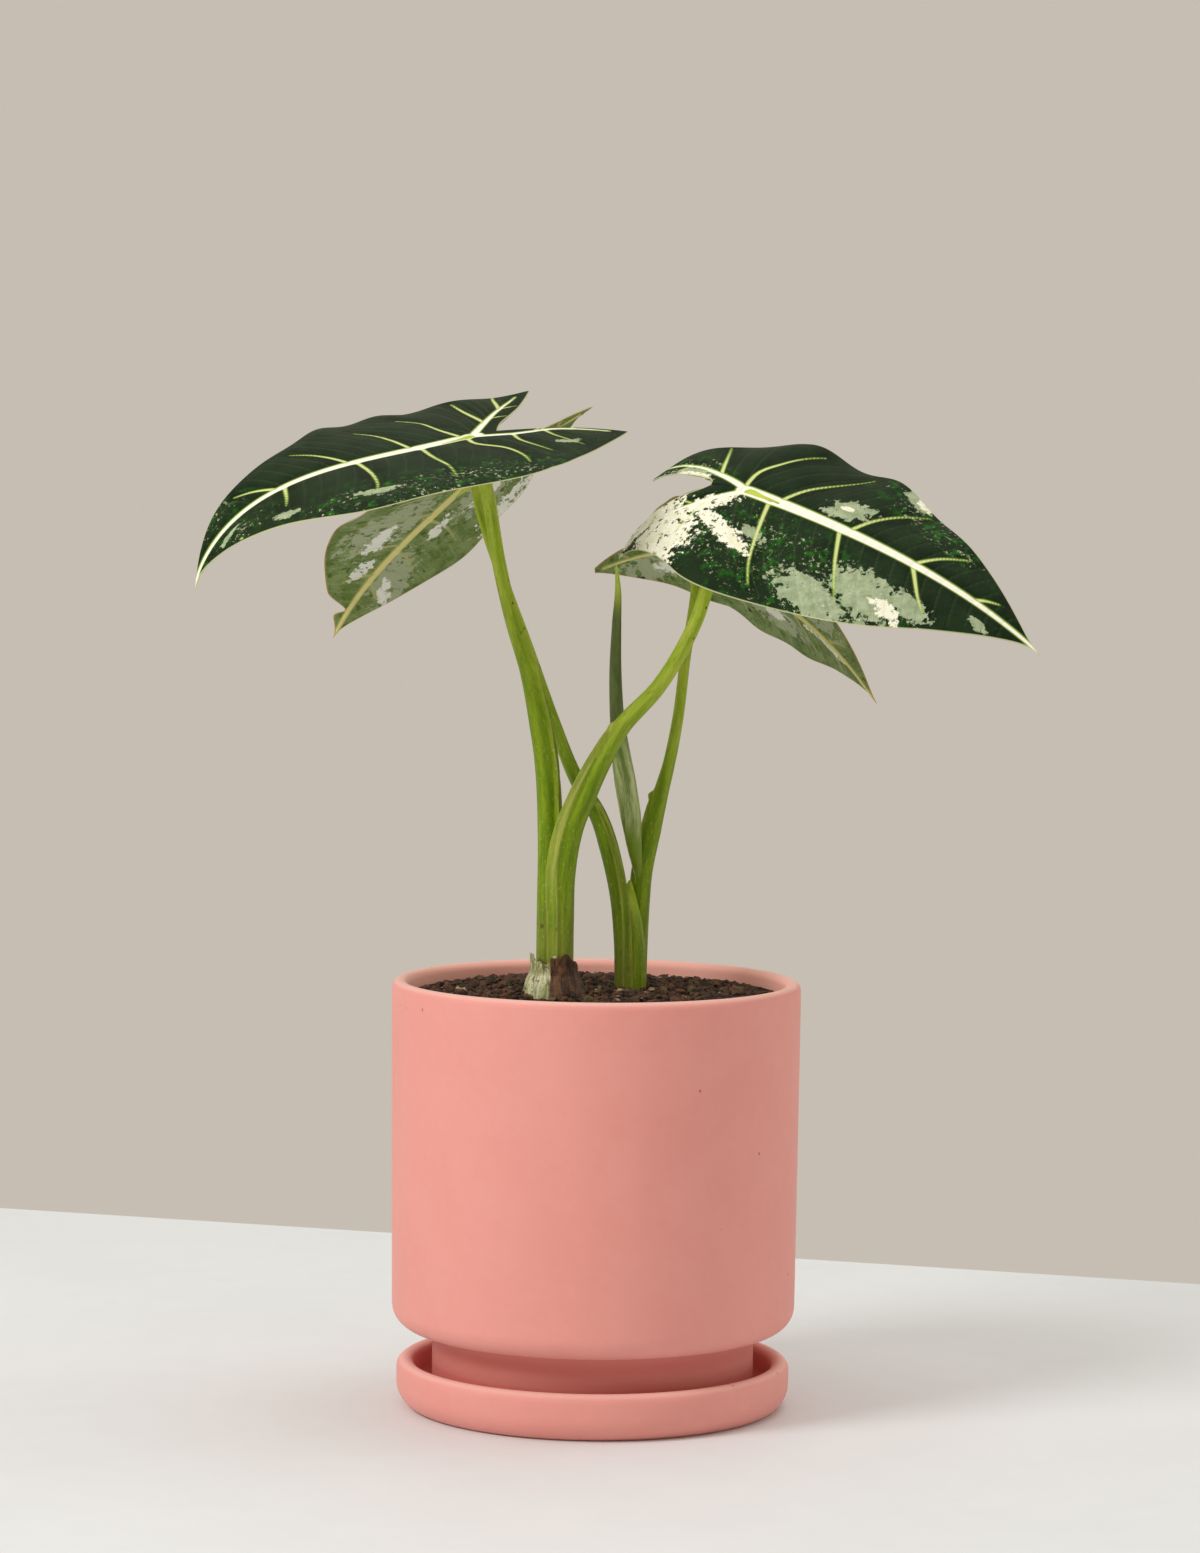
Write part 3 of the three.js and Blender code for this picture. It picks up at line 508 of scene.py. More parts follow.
def blade_place(blade, ahead, out):
    share = np.linspace(-0.6, 1, 97)
    droop = blade["droop"] * share + blade["tip_droop"] * share**3
    droop = np.where(share > 0, droop, blade["lobe_droop"] * share)
    pitch = np.radians(blade["pitch"] - droop)
    turn = np.radians(blade["sweep"] * np.maximum(share, 0))
    along = np.stack([np.cos(pitch) * np.cos(turn), np.cos(pitch) * np.sin(turn), np.sin(pitch)], 1)
    step = blade["length"] * (share[1] - share[0])
    line = np.concatenate([[[0, 0, 0]], np.cumsum((along[1:] + along[:-1]) / 2 * step, 0)])
    line -= line[np.argmin(abs(share))]
    at = ahead / blade["length"]

    def read(column):
        return np.interp(at, share, column)

    middle = np.stack([read(line[:, k]) for k in range(3)], -1)
    forward = np.stack([read(along[:, k]) for k in range(3)], -1)
    forward /= np.linalg.norm(forward, axis=-1, keepdims=True)
    swing = read(turn)
    level = np.stack([-np.sin(swing), np.cos(swing), 0 * swing], -1)
    up = np.cross(forward, level)
    lean = np.radians(blade["roll"] + blade["twist"] * np.maximum(at, 0))[..., None]
    side = level * np.cos(lean) + up * np.sin(lean)
    top = up * np.cos(lean) - level * np.sin(lean)

    def half(key):
        return np.where(out > 0, blade["left"][key], blade["right"][key])

    back = np.clip(-ahead / half("lobe"), 0, 1)
    rise = np.radians(half("rise") + half("lobe_rise") * back)
    bend = np.radians(blade["camber"]) / half("width")
    reach = abs(out)
    across = (np.sin(rise) - np.sin(rise - bend * reach)) / bend
    arch = (np.cos(rise - bend * reach) - np.cos(rise)) / bend
    sag = half("sag") * half("lobe") * back**2 / 2
    ripple = np.sin(2 * np.pi * blade["waves"] * at + np.radians(half("phase")))
    wave = half("wave") * (reach / half("width")) ** 2 * ripple
    local = middle + side * (across * np.sign(out))[..., None] + top * (arch - sag + wave)[..., None]
    heading = np.radians(blade["heading"])
    x = local[..., 0] * np.cos(heading) - local[..., 1] * np.sin(heading)
    y = local[..., 0] * np.sin(heading) + local[..., 1] * np.cos(heading)
    return np.stack([x, y, local[..., 2]], -1) + np.array(blade["junction"]) + (0, 0, SOIL_TOP)


def blade_normal(blade, ahead, out):
    forward = blade_place(blade, ahead + 0.5, out) - blade_place(blade, ahead - 0.5, out)
    leftward = blade_place(blade, ahead, out + 0.5) - blade_place(blade, ahead, out - 0.5)
    normal = np.cross(forward, leftward)
    return normal / np.linalg.norm(normal, axis=-1, keepdims=True)


def smooth_line(points, count):
    points = np.array(points, float)
    spot = np.linspace(0, len(points) - 1, count)
    low = np.minimum(spot.astype(int), len(points) - 2)
    mix = (spot - low)[:, None]
    start, end = points[low], points[low + 1]
    first = (end - points[np.maximum(low - 1, 0)]) / 2
    last = (points[np.minimum(low + 2, len(points) - 1)] - start) / 2
    cubic = (2 * start - 2 * end + first + last) * mix**3
    return cubic + (3 * end - 3 * start - 2 * first - last) * mix**2 + first * mix + start


def half_outline(blade, half):
    length, sinus = blade["length"], blade["sinus"]
    width, lobe, inset, full = (half[key] for key in ("width", "lobe", "inset", "full"))
    outer = smooth_line([
        (length, 0), (length * 0.95, width * 0.035), (length * 0.88, width * 0.15 * full),
        (length * 0.74, width * 0.4 * full), (length * 0.54, width * 0.71 * full),
        (length * 0.3, width * 0.93), (length * 0.04, width), (-lobe * 0.35, width * (0.63 + 0.45 * inset)),
        (-lobe * 0.75, width * (0.315 + 0.65 * inset)), (-lobe, width * inset),
    ], 400)
    inner = smooth_line([
        (-lobe, width * inset), (-lobe * 0.66, width * inset * 0.52), (-lobe * 0.36, width * inset * 0.2),
        (-sinus, 0),
    ], 160)
    tear = half.get("tear")
    if tear:
        bite = 1 - tear[2] * np.exp(-(((outer[:, 0] - tear[0]) / tear[1]) ** 2))
        outer[:, 1] *= bite
    return np.concatenate([outer, inner[1:]])


def distance_to(line, spots):
    """How far each spot is from a line of points, and how far along the line, from 0 to 1."""
    nearest = np.full(len(spots), 1e9)
    along = np.zeros(len(spots))
    count = len(line) - 1
    for number in range(count):
        start, step = line[number], line[number + 1] - line[number]
        share = np.clip(((spots - start) @ step) / max(step @ step, 1e-12), 0, 1)
        gap = np.linalg.norm(spots - start - share[:, None] * step, axis=1)
        closer = gap < nearest
        nearest = np.where(closer, gap, nearest)
        along = np.where(closer, (number + share) / count, along)
    return nearest, along


def side_vein(start, angle, bend, outline, reach):
    """A vein that leaves a rib at an angle from forward and bends until it nears the margin."""
    spot = np.array(start, float)
    line = [spot.copy()]
    for step in range(80):
        turn = angle - bend * step / 40
        spot = spot + (math.cos(turn), math.sin(turn))
        line.append(spot.copy())
        if step > 4 and np.min(np.hypot(*(outline - spot).T)) < reach:
            break
    return np.array([*line[:-1:4], line[-1]])


def leaf_veins(blade):
    """Ribs, side veins and hairline veins of a leaf, each a line and its two half widths."""
    ribs = [(np.array([(-2.0, 0), (blade["length"], 0)]), 2.4, 0.5)]
    sides, hairs = [], []
    for half, sign in ((blade["left"], 1), (blade["right"], -1)):
        outline = half_outline(blade, half)
        flip = np.array((1, sign))
        costa = smooth_line(half["costa"], 40)
        ribs.append((costa[::2] * flip, 1.3, 0.25))
        for points in half["veins"]:
            sides.append((smooth_line(points, 16) * flip, 0.62, 0.1))
        for share, angle in ((0.5, 3.5), (0.75, 3.4)):
            line = side_vein(costa[int(share * 39)], angle, -0.2, outline, 2.6)
            sides.append((line * flip, 0.3, 0.08))
        for share in np.arange(-0.02, 0.9, 0.052):
            line = side_vein((share * blade["length"], 0), 1.26, 0.5, outline, 3.0)
            hairs.append((line * flip, 0.16, 0.1))
        for share in np.arange(0.1, 0.9, 0.12):
            line = side_vein(costa[int(share * 39)], 1.8 + 0.3 * share, 0.3, outline, 3.0)
            hairs.append((line * flip, 0.16, 0.1))
    return ribs, sides, hairs


def nearest_vein(veins, spots):
    """Distance to the nearest edge of a vein, negative inside it, and to its middle."""
    edge = np.full(len(spots), 1e9)
    middle = np.full(len(spots), 1e9)
    for line, wide, narrow in veins:
        gap, along = distance_to(line, spots)
        edge = np.minimum(edge, gap - (wide + (narrow - wide) * along))
        middle = np.minimum(middle, gap)
    return edge, middle


def patches(ovals, spots):
    """1 at the middle of a patch, 0 at its outline and below 0 outside it."""
    value = np.full(len(spots), -1.0)
    for ahead, out, length, width, turn in ovals:
        angle = math.radians(turn)
        dx, dy = spots[:, 0] - ahead, spots[:, 1] - out
        forward = (dx * math.cos(angle) + dy * math.sin(angle)) / length
        across = (dy * math.cos(angle) - dx * math.sin(angle)) / width
        value = np.maximum(value, 1 - np.hypot(forward, across))
    return value


def formed_sheet(name, columns, rows, place):
    """A flat grid whose corners are moved to place(across, along), both from 0 to 1."""
    bpy.ops.object.select_all(action="DESELECT")
    bpy.ops.mesh.primitive_grid_add(x_subdivisions=columns, y_subdivisions=rows, size=1)
    piece = bpy.context.object
    piece.name = name
    piece.data.name = name
    flat = np.empty(len(piece.data.vertices) * 3)
    piece.data.vertices.foreach_get("co", flat)
    flat = flat.reshape(-1, 3)
    made = place(flat[:, 0] + 0.5, flat[:, 1] + 0.5)
    piece.data.vertices.foreach_set("co", (made * MM).ravel())
    piece.data.update()
    return piece


def mark(piece, name, values):
    kind = "FLOAT" if values.ndim == 1 else "FLOAT_VECTOR"
    made = piece.data.attributes.new(name, kind, "POINT")
    made.data.foreach_set("value" if values.ndim == 1 else "vector", values.ravel())


def joined(pieces, name):
    bpy.ops.object.select_all(action="DESELECT")
    for piece in pieces:
        piece.select_set(True)
    bpy.context.view_layer.objects.active = pieces[0]
    bpy.ops.object.join()
    pieces[0].name = name
    pieces[0].data.name = name
    return pieces[0]


LEAF_COLUMNS = 104
LEAF_ROWS = 264
FRONT_ROWS = 134
SHOULDER = 0.04


def leaf_spots(blade, across, along):
    """Where on the leaf each corner of the sheet lies: ahead of the junction and out to the left."""
    row = np.rint(along * LEAF_ROWS).astype(int)
    front = np.linspace(blade["length"], blade["length"] * SHOULDER, FRONT_ROWS + 1)
    lobe_rows = LEAF_ROWS - FRONT_ROWS
    behind = np.linspace(blade["length"] * SHOULDER, -blade["sinus"], lobe_rows + 1)[1:]
    middle = np.concatenate([front, behind])
    edges = []
    for half in (blade["right"], blade["left"]):
        outline = half_outline(blade, half)
        widest = np.argmax(outline[:, 0] <= blade["length"] * SHOULDER)
        ahead_of = outline[: widest + 1][::-1]
        edge_front = np.stack([front, np.interp(front, ahead_of[:, 0], ahead_of[:, 1])], 1)
        lobe = outline[widest:]
        run = np.concatenate([[0], np.cumsum(np.linalg.norm(np.diff(lobe, axis=0), axis=1))])
        spot = np.linspace(0, run[-1], lobe_rows + 1)[1:]
        edge_back = np.stack([np.interp(spot, run, lobe[:, k]) for k in range(2)], 1)
        edges.append(np.concatenate([edge_front, edge_back]))
    reach = np.abs(2 * across - 1)
    left = across > 0.5
    edge = np.where(left[:, None], edges[1][row], edges[0][row])
    ahead = middle[row] + (edge[:, 0] - middle[row]) * reach
    out = edge[:, 1] * reach * np.where(left, 1, -1)
    return ahead, out


def leaf_study(blade):
    """Every corner of the leaf's grid: its spot, its distances to veins and margin, its patches."""
    rows, columns = np.linspace(0, 1, LEAF_ROWS + 1), np.linspace(0, 1, LEAF_COLUMNS + 1)
    along, across = np.meshgrid(rows, columns, indexing="ij")
    along, across = along.ravel(), across.ravel()
    ahead, out = leaf_spots(blade, across, along)
    spots = np.stack([ahead, out], 1)
    outline = [half_outline(blade, blade[side]) * (1, sign) for side, sign in (("left", 1), ("right", -1))]
    margin = np.minimum(*[distance_to(line[::6], spots)[0] for line in outline])
    margin[np.abs(2 * across - 1) > 0.999] = 0
    ribs, sides, hairs = leaf_veins(blade)
    rib, rib_middle = nearest_vein(ribs, spots)
    side, side_middle = nearest_vein(sides, spots)
    hair = nearest_vein(hairs, spots)[0]
    return dict(
        ahead=ahead, out=out, rib=rib, rib_middle=rib_middle, side=side, side_middle=side_middle, hair=hair,
        margin=margin, near=np.minimum(rib_middle, side_middle),
        cream=patches(blade["cream"], spots), grey=patches(blade["grey"], spots),
        flecked=np.clip(patches(blade["flecks"], spots) * 2, 0, 1),
        lay=np.stack([ahead / 10, out / 10, 0 * out], 1),
    )


SHOWN_NOTES = ("rib", "side", "hair", "margin", "near", "cream", "grey", "flecked", "lay")


def leaf_sheet(name, blade, study, upper):
    notes = {}

    def place(across, along):
        if not upper:
            across = 1 - across
        row, column = np.rint(along * LEAF_ROWS).astype(int), np.rint(across * LEAF_COLUMNS).astype(int)
        here = {key: values[row * (LEAF_COLUMNS + 1) + column] for key, values in study.items()}
        ahead, out, margin, near = (here[key] for key in ("ahead", "out", "margin", "near"))
        rib_middle, side_middle = here["rib_middle"], here["side_middle"]
        calm = np.clip(margin / 5, 0, 1)
        quilt = 0.55 * (1 - np.exp(-((near / 5) ** 2))) * calm
        thick = 0.34 * np.clip(margin / 0.8, 0, 1) ** 0.5
        rib_wide = np.clip(1.5 - ahead / blade["length"], 0.35, 1.6)
        if upper:
            fold = -0.3 * np.exp(-((rib_middle / 1.6) ** 2)) - 0.16 * np.exp(-((side_middle / 0.9) ** 2))
            lift = thick + quilt + fold * calm
        else:
            ridge = 0.75 * rib_wide * np.exp(-((rib_middle / (1.0 * rib_wide + 0.3)) ** 2))
            ridge += 0.3 * np.exp(-((side_middle / 0.7) ** 2))
            lift = quilt - thick - ridge * np.clip(margin / 2.5, 0, 1)
        notes.update({key: here[key] for key in SHOWN_NOTES})
        normal = blade_normal(blade, ahead, out)
        return blade_place(blade, ahead, out) + normal * lift[:, None]

    piece = formed_sheet(name, LEAF_COLUMNS, LEAF_ROWS, place)
    for key, values in notes.items():
        mark(piece, key, values)
    return piece


def leaf_finish(tree, shader, paint, lay, gloss, pleating):
    """Wires a leaf face's paint, and gives it fine cells and the pleats between its hairline veins."""
    wired(tree, paint, shader, "Base Color")
    cellular = cloud(tree, lay, 42.0, 3.0, 0.6)
    roughened(tree, shader, cellular, *gloss)
    pleats = ramp(tree, read_attribute(tree, "hair"), 1.0, 0.0)
    bumped(tree, shader, sum_of(tree, cellular, pleats, pleating), 0.00014)


def vein_paint(tree, base, rib_colour, rib_edge, side_colour, hair_colour, hair_share, cream):
    """Lays the hairline veins, the side veins and the ribs over a leaf; they fade where it is cream."""
    plain = sum_of(tree, 1.0, product(tree, cream, 0.85), "SUBTRACT")
    hair = product(tree, ramp(tree, read_attribute(tree, "hair"), 0.5, -0.1), plain)
    painted = mixed(tree, product(tree, hair, hair_share), base, hair_colour)
    side = read_attribute(tree, "side")
    glow = product(tree, ramp(tree, side, 0.65, 0.05), 0.55)
    painted = mixed(tree, product(tree, glow, plain), painted, rib_edge)
    line = product(tree, ramp(tree, side, 0.22, -0.12), plain)
    painted = mixed(tree, line, painted, side_colour)
    rib = read_attribute(tree, "rib")
    glow = product(tree, ramp(tree, rib, 0.75, 0.05), 0.85)
    painted = mixed(tree, product(tree, glow, plain), painted, rib_edge)
    return mixed(tree, ramp(tree, rib, 0.2, -0.3), painted, rib_colour)


velvet, tree, shader = new_material("leaf_upper_face")
lay = read_attribute(tree, "lay", "Vector")
green = mottled(tree, lay, 0.9, colour(11, 27, 8), colour(24, 44, 18))
near = read_attribute(tree, "near")
between = product(tree, ramp(tree, near, 1.5, 7.0), 0.16)
green = mixed(tree, between, green, colour(56, 76, 48))
flecked = read_attribute(tree, "flecked")
glow = ramp(tree, cloud(tree, lay, 2.4, 5.0, 0.65), 0.5, 0.68)
glow = product(tree, product(tree, glow, flecked), 0.95)
green = mixed(tree, glow, green, colour(34, 100, 16))
rough_edge = sum_of(tree, cloud(tree, lay, 3.4, 7.0, 0.7), 0.5, "SUBTRACT")
ragged = product(tree, rough_edge, 2.7)
grey = ramp(tree, sum_of(tree, read_attribute(tree, "grey"), ragged), 0.12, 0.15)
green = mixed(tree, grey, green, mottled(tree, lay, 3.1, colour(146, 162, 126), colour(176, 188, 154)))
cream = ramp(tree, sum_of(tree, read_attribute(tree, "cream"), ragged), 0.17, 0.2)
island = ramp(tree, cloud(tree, lay, 3.2, 7.0, 0.72), 0.56, 0.585)
cream = sum_of(tree, cream, product(tree, cream, island), "SUBTRACT")
green = mixed(tree, cream, green, mottled(tree, lay, 2.0, colour(240, 238, 208), colour(252, 250, 234)))
drift = product(tree, cloud(tree, lay, 1.3, 2.0, 0.5), 0.22)
crumbly = sum_of(tree, cloud(tree, lay, 6.5, 6.0, 0.75), drift)
fleck = ramp(tree, sum_of(tree, crumbly, product(tree, flecked, 0.12)), 0.825, 0.84)
green = laid(tree, green, fleck, 0.8, mottled(tree, lay, 6.0, colour(136, 166, 80), colour(236, 238, 206)))
leaf_paint = vein_paint(tree, green, colour(252, 249, 234), colour(150, 184, 66), colour(212, 220, 148),
                        colour(84, 104, 66), 0.18, cream)
rim = ramp(tree, read_attribute(tree, "margin"), 0.5, 0.12)
leaf_paint = laid(tree, leaf_paint, rim, 0.85, colour(206, 210, 158))
leaf_finish(tree, shader, leaf_paint, lay, (0.38, 0.54), "SUBTRACT")
shader.inputs["Specular IOR Level"].default_value = 0.06

underside, tree, shader = new_material("leaf_under_face")
lay = read_attribute(tree, "lay", "Vector")
green = mottled(tree, lay, 1.3, colour(92, 116, 50), colour(134, 152, 94))
rough_edge = sum_of(tree, cloud(tree, lay, 3.0, 7.0, 0.68), 0.5, "SUBTRACT")
ragged = product(tree, rough_edge, 2.6)
grey = ramp(tree, sum_of(tree, read_attribute(tree, "grey"), ragged), 0.1, 0.22)
green = laid(tree, green, grey, 0.8, colour(174, 182, 150))
cream = ramp(tree, sum_of(tree, read_attribute(tree, "cream"), ragged), 0.14, 0.24)
green = laid(tree, green, cream, 0.95, colour(238, 239, 226))
blotch = ramp(tree, cloud(tree, lay, 2.3, 6.0, 0.66), 0.55, 0.6)
green = laid(tree, green, blotch, 0.85, mottled(tree, lay, 5.0, colour(42, 66, 12), colour(104, 132, 44)))
specks = scattered(tree, lay, 3.4, 0.03)
green = mixed(tree, specks, green, colour(40, 34, 22))
leaf_paint = vein_paint(tree, green, colour(222, 214, 138), colour(178, 180, 104), colour(172, 176, 118),
                        colour(164, 172, 122), 0.3, cream)
rim = ramp(tree, read_attribute(tree, "margin"), 0.6, 0.2)
leaf_paint = laid(tree, leaf_paint, rim, 0.7, colour(186, 142, 84))
leaf_finish(tree, shader, leaf_paint, lay, (0.46, 0.62), "ADD")
shader.inputs["Specular IOR Level"].default_value = 0.12

for node, blade in BLADES.items():
    study = leaf_study(blade)
    upper = leaf_sheet(node + "_upper", blade, study, True)
    upper.data.materials.append(velvet)
    lower = leaf_sheet(node + "_lower", blade, study, False)
    lower.data.materials.append(underside)
    leaf = joined([upper, lower], node + "_leaf")
    close_up(leaf)
    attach(leaf, "root")
    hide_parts(node)

# ---------------------------------------------------------------- leaf stems
# Four fleshy stems, each winged by an open sheath over its lower half, running up into its leaf.
# Each is a sheet rolled round a flowing line, closed at both ends and welded at its seam.

STEMS = {
    "stem_front_left": dict(
        blade="blade_front_left", sheath=(110, 1.3, 10, 0.1),
        path=[
            (-16.6, -9.4, 5.6, 4.05), (-16.6, -9.2, 28, 3.9), (-16.8, -8.6, 50, 3.7), (-18.1, -8, 75, 3.5),
            (-20.5, -8, 90, 3.2), (-24.6, -8, 108, 2.6), (-29.9, -8, 125, 2.4), (-34.6, -8.5, 145, 2.35),
            (-38.9, -9.4, 169, 2.3),
        ],
    ),
    "stem_front_right": dict(
        blade="blade_front_right", sheath=(90, 0.9, 138, 0.85),
        path=[
            (-12, -17.9, 5.6, 4.05), (-12, -17.8, 24, 4.2), (-12, -17.5, 42, 4.7), (-9.4, -17, 56, 4.5),
            (-5, -16.5, 67, 4.4), (0.8, -16, 79, 3.9), (7.6, -15, 90, 3.1), (20.1, -14, 104, 2.6),
            (31.4, -12.5, 124, 2.35), (37.5, -10.5, 142, 2.35),
        ],
    ),
    "stem_back_left": dict(
        blade="blade_back_left", sheath=(62, 0.7, 60, 0.5),
        path=[
            (9, -2.6, -2.8, 3.05), (8.8, -2.4, 15, 3.05), (7.3, -2, 32, 3.2), (3.3, 0, 49, 3.3),
            (-0.4, 2, 59, 3), (-8.3, 5, 72, 2.5), (-16.4, 10.5, 92, 2.1), (-24.6, 18, 114, 1.9),
            (-33.9, 28, 138, 1.85), (-42.8, 37, 164, 1.75),
        ],
    ),
    "stem_back_right": dict(
        blade="blade_back_right", sheath=(66, 0.9, 190, 0.1),
        path=[
            (13.8, 3.6, -2.8, 3.05), (14.2, 3.6, 14, 3.1), (14.8, 4, 30, 3.2), (15.6, 4.6, 40, 3.2),
            (18.2, 6.4, 53, 3.2), (21.3, 9, 66, 2.6), (24, 11.4, 76, 2.1), (27, 15, 92, 1.9),
            (29.3, 20, 112, 1.8), (32.4, 26.5, 131, 1.85),
        ],
    ),
}


def flowing_line(points, shares):
    """A smooth line through points of place and radius, read at shares of its length in points."""
    points = np.array(points, float)
    places = points[:, :3]
    before = 2 * places[0] - places[1]
    after = 2 * places[-1] - places[-2]
    padded = np.concatenate([[before], places, [after]])
    gaps = np.linalg.norm(np.diff(padded, axis=0), axis=1) ** 0.5
    spot = shares * (len(points) - 1)
    low = np.minimum(spot.astype(int), len(points) - 2)
    mix = (spot - low)[:, None]
    p0, p1, p2, p3 = (padded[low + k] for k in range(4))
    g0, g1, g2 = (gaps[low + k][:, None] for k in range(3))
    first = ((p1 - p0) / g0 - (p2 - p0) / (g0 + g1) + (p2 - p1) / g1) * g1
    last = ((p2 - p1) / g1 - (p3 - p1) / (g1 + g2) + (p3 - p2) / g2) * g1
    line = (2 * p1 - 2 * p2 + first + last) * mix**3 + (3 * p2 - 3 * p1 - 2 * first - last) * mix**2
    line = line + first * mix + p1
    radius = points[low, 3] + (points[low + 1, 3] - points[low, 3]) * mix[:, 0]
    return line, radius


def rolled(name, path, columns, rows, section):
    """A sheet rolled round a line: section(turn, height, radius) gives how far out it stands."""
    notes = {}

    def place(across, along):
        ease = np.clip(np.minimum(along, 1 - along) * rows / 3, 0, 1)
        centre, radius = flowing_line(path, along)
        shift = 0.5 / rows
        ahead = flowing_line(path, np.clip(along + shift, 0, 1))[0]
        behind = flowing_line(path, np.clip(along - shift, 0, 1))[0]
        along_line = ahead - behind
        along_line /= np.linalg.norm(along_line, axis=1, keepdims=True)
        side = np.cross(along_line, (0, -1, 0))
        side /= np.linalg.norm(side, axis=1, keepdims=True)
        front = np.cross(side, along_line)
        turn = 2 * np.pi * across
        out, trim = section(turn, centre[:, 2], radius)
        out = out * np.sqrt(1 - (1 - ease) ** 2)
        notes["lay"] = np.stack([turn * radius / 10, centre[:, 2] / 10, 0 * turn], 1)
        notes["trim"] = trim
        notes["climb"] = along
        made = centre + side * (out * np.cos(turn))[:, None] + front * (out * np.sin(turn))[:, None]
        return made + (0, 0, SOIL_TOP)

    piece = formed_sheet(name, columns, rows, place)
    for key, values in notes.items():
        mark(piece, key, values)
    close_up(piece)
    return piece


fleshy, tree, shader = new_material("leaf_stem")
lay = read_attribute(tree, "lay", "Vector")
climb = read_attribute(tree, "climb")
drawn = stretched(tree, lay, (3.2, 0.32, 1.0))
# Painted light: the skin is painted lighter towards the top of each stem, where the upper stem stands in the
# light.
low_green = mottled(tree, drawn, 1.6, colour(98, 130, 4), colour(136, 160, 18))
lit_upper_green = mottled(tree, drawn, 1.6, colour(160, 188, 30), colour(200, 212, 84))
skin = mixed(tree, ramp(tree, climb, 0.3, 0.72), low_green, lit_upper_green)
skin = laid(tree, skin, ramp(tree, climb, 0.14, 0.0), 0.4, colour(136, 132, 70))
tight = stretched(tree, lay, (1.0, 0.5, 1.0))
marks = scattered(tree, tight, 9.0, 0.22)
skin = laid(tree, skin, marks, 0.22, colour(66, 84, 18))
pale = scattered(tree, tight, 14.0, 0.14)
skin = laid(tree, skin, pale, 0.35, colour(190, 196, 120))
trim = read_attribute(tree, "trim")
skin = laid(tree, skin, trim, 0.75, colour(182, 176, 98))
bruise = ramp(tree, cloud(tree, drawn, 1.1, 3.0, 0.6), 0.5, 0.72)
skin = laid(tree, skin, bruise, 0.45, colour(78, 100, 14))
scar = scattered(tree, lay, 3.6, 0.16)
scar = product(tree, scar, ramp(tree, climb, 0.085, 0.05))
skin = laid(tree, skin, scar, 0.8, colour(84, 54, 26))
black = scattered(tree, lay, 5.5, 0.008)
skin = mixed(tree, black, skin, colour(34, 28, 16))
wired(tree, skin, shader, "Base Color")
fine = cloud(tree, drawn, 14.0, 3.0, 0.6)
roughened(tree, shader, fine, 0.36, 0.52)
bumped(tree, shader, fine, 0.00018)
shader.inputs["Specular IOR Level"].default_value = 0.2

SHEATH_RUN_OUT = 5
LIP_WIDTH = 0.13
DRY_ABOVE = 26
DRY_RUN_IN = 22

for node, stem in STEMS.items():
    blade = BLADES[stem["blade"]]
    top, wing, faces_to, dryness = stem["sheath"]
    path = list(stem["path"])
    last = np.array(path[-1][:3])
    girth = path[-1][3]

    def under(ahead, depth):
        spot = np.array([float(ahead)])
        normal = blade_normal(blade, spot, 0 * spot)[0]
        return blade_place(blade, spot, 0 * spot)[0] - normal * depth - (0, 0, SOIL_TOP)

    join = under(0, 1.5)
    path.append((*(last + (join - last) * 0.82), girth))
    path.append((*join, girth * 0.85))
    path.append((*under(6, 1.0), girth * 0.6))
    path.append((*under(13, 0.7), girth * 0.35))

    def section(turn, height, radius):
        lean = (turn - math.radians(faces_to) + math.pi) % (2 * math.pi) - math.pi
        fade = np.clip((top - height) / SHEATH_RUN_OUT, 0, 1) ** 0.6
        open_up = 0.2 + 0.35 * np.clip((top - height) / 60, 0, 1)
        lips = np.exp(-(((np.abs(lean) - open_up) / LIP_WIDTH) ** 2))
        groove = np.exp(-((lean / (open_up * 0.7)) ** 2))
        tooth = 1.7 * np.exp(-(((height - top + 1.5) / 1.3) ** 2)) * np.exp(-((lean / 0.3) ** 2))
        uneven = 1 + 0.015 * np.cos(3 * turn + height / 9)
        out = radius * uneven + fade * (wing * 1.15 * lips - 0.5 * groove) + tooth * wing
        aged = np.clip((height - DRY_ABOVE) / DRY_RUN_IN, 0, 1)
        dry = np.maximum(0.55 * lips**3, dryness * groove * aged)
        return out, np.clip(fade * 3, 0, 1) * dry

    piece = rolled(node + "_grown", path, 64, 260, section)
    piece.data.materials.append(fleshy)
    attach(piece, "root")
    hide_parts(node)

# The right plant's two stems are fused at their foot by one old sheath that fills between them.
FOOT_PATH = [
    (11.4, 0.5, -2.8, 5.3), (11.5, 0.4, 4, 5.4), (11.5, 0.5, 14, 5.0), (11.2, 0.8, 22, 4.2),
    (11.0, 1.4, 28, 3.0), (10.9, 1.8, 32, 2.0), (10.9, 2.0, 35, 1.0), (10.9, 2.0, 36.5, 0.4),
]


def foot_section(turn, height, radius):
    flat = 1 / np.sqrt(np.cos(turn) ** 2 + (np.sin(turn) / 0.84) ** 2)
    return radius * flat, 0.5 * np.exp(-(((turn - 1.75) / 0.08) ** 2))


foot = rolled("clump_foot", FOOT_PATH, 48, 90, foot_section)
foot.data.materials.append(fleshy)
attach(foot, "root")

# ---------------------------------------------------------------- spear
# The next leaf, still rolled tight into a spear, standing in the fork of the right plant.
# A sheet is rolled like the stems, with one free edge that winds up it as a raised line.

SPEAR_PATH = [
    (14.6, 3.4, 33, 1.0), (13.6, 2.4, 41, 1.9), (12.4, 0.8, 49, 2.8), (11.2, -1.0, 59, 3.7),
    (9.2, -2.5, 71, 3.8), (7.0, -3.4, 84, 3.2), (6.1, -4, 92, 2.6), (5.3, -5, 108, 2.2),
    (5.5, -5.6, 125, 1.65), (5.8, -6, 135, 1.15), (5.1, -6, 144, 0.45),
]


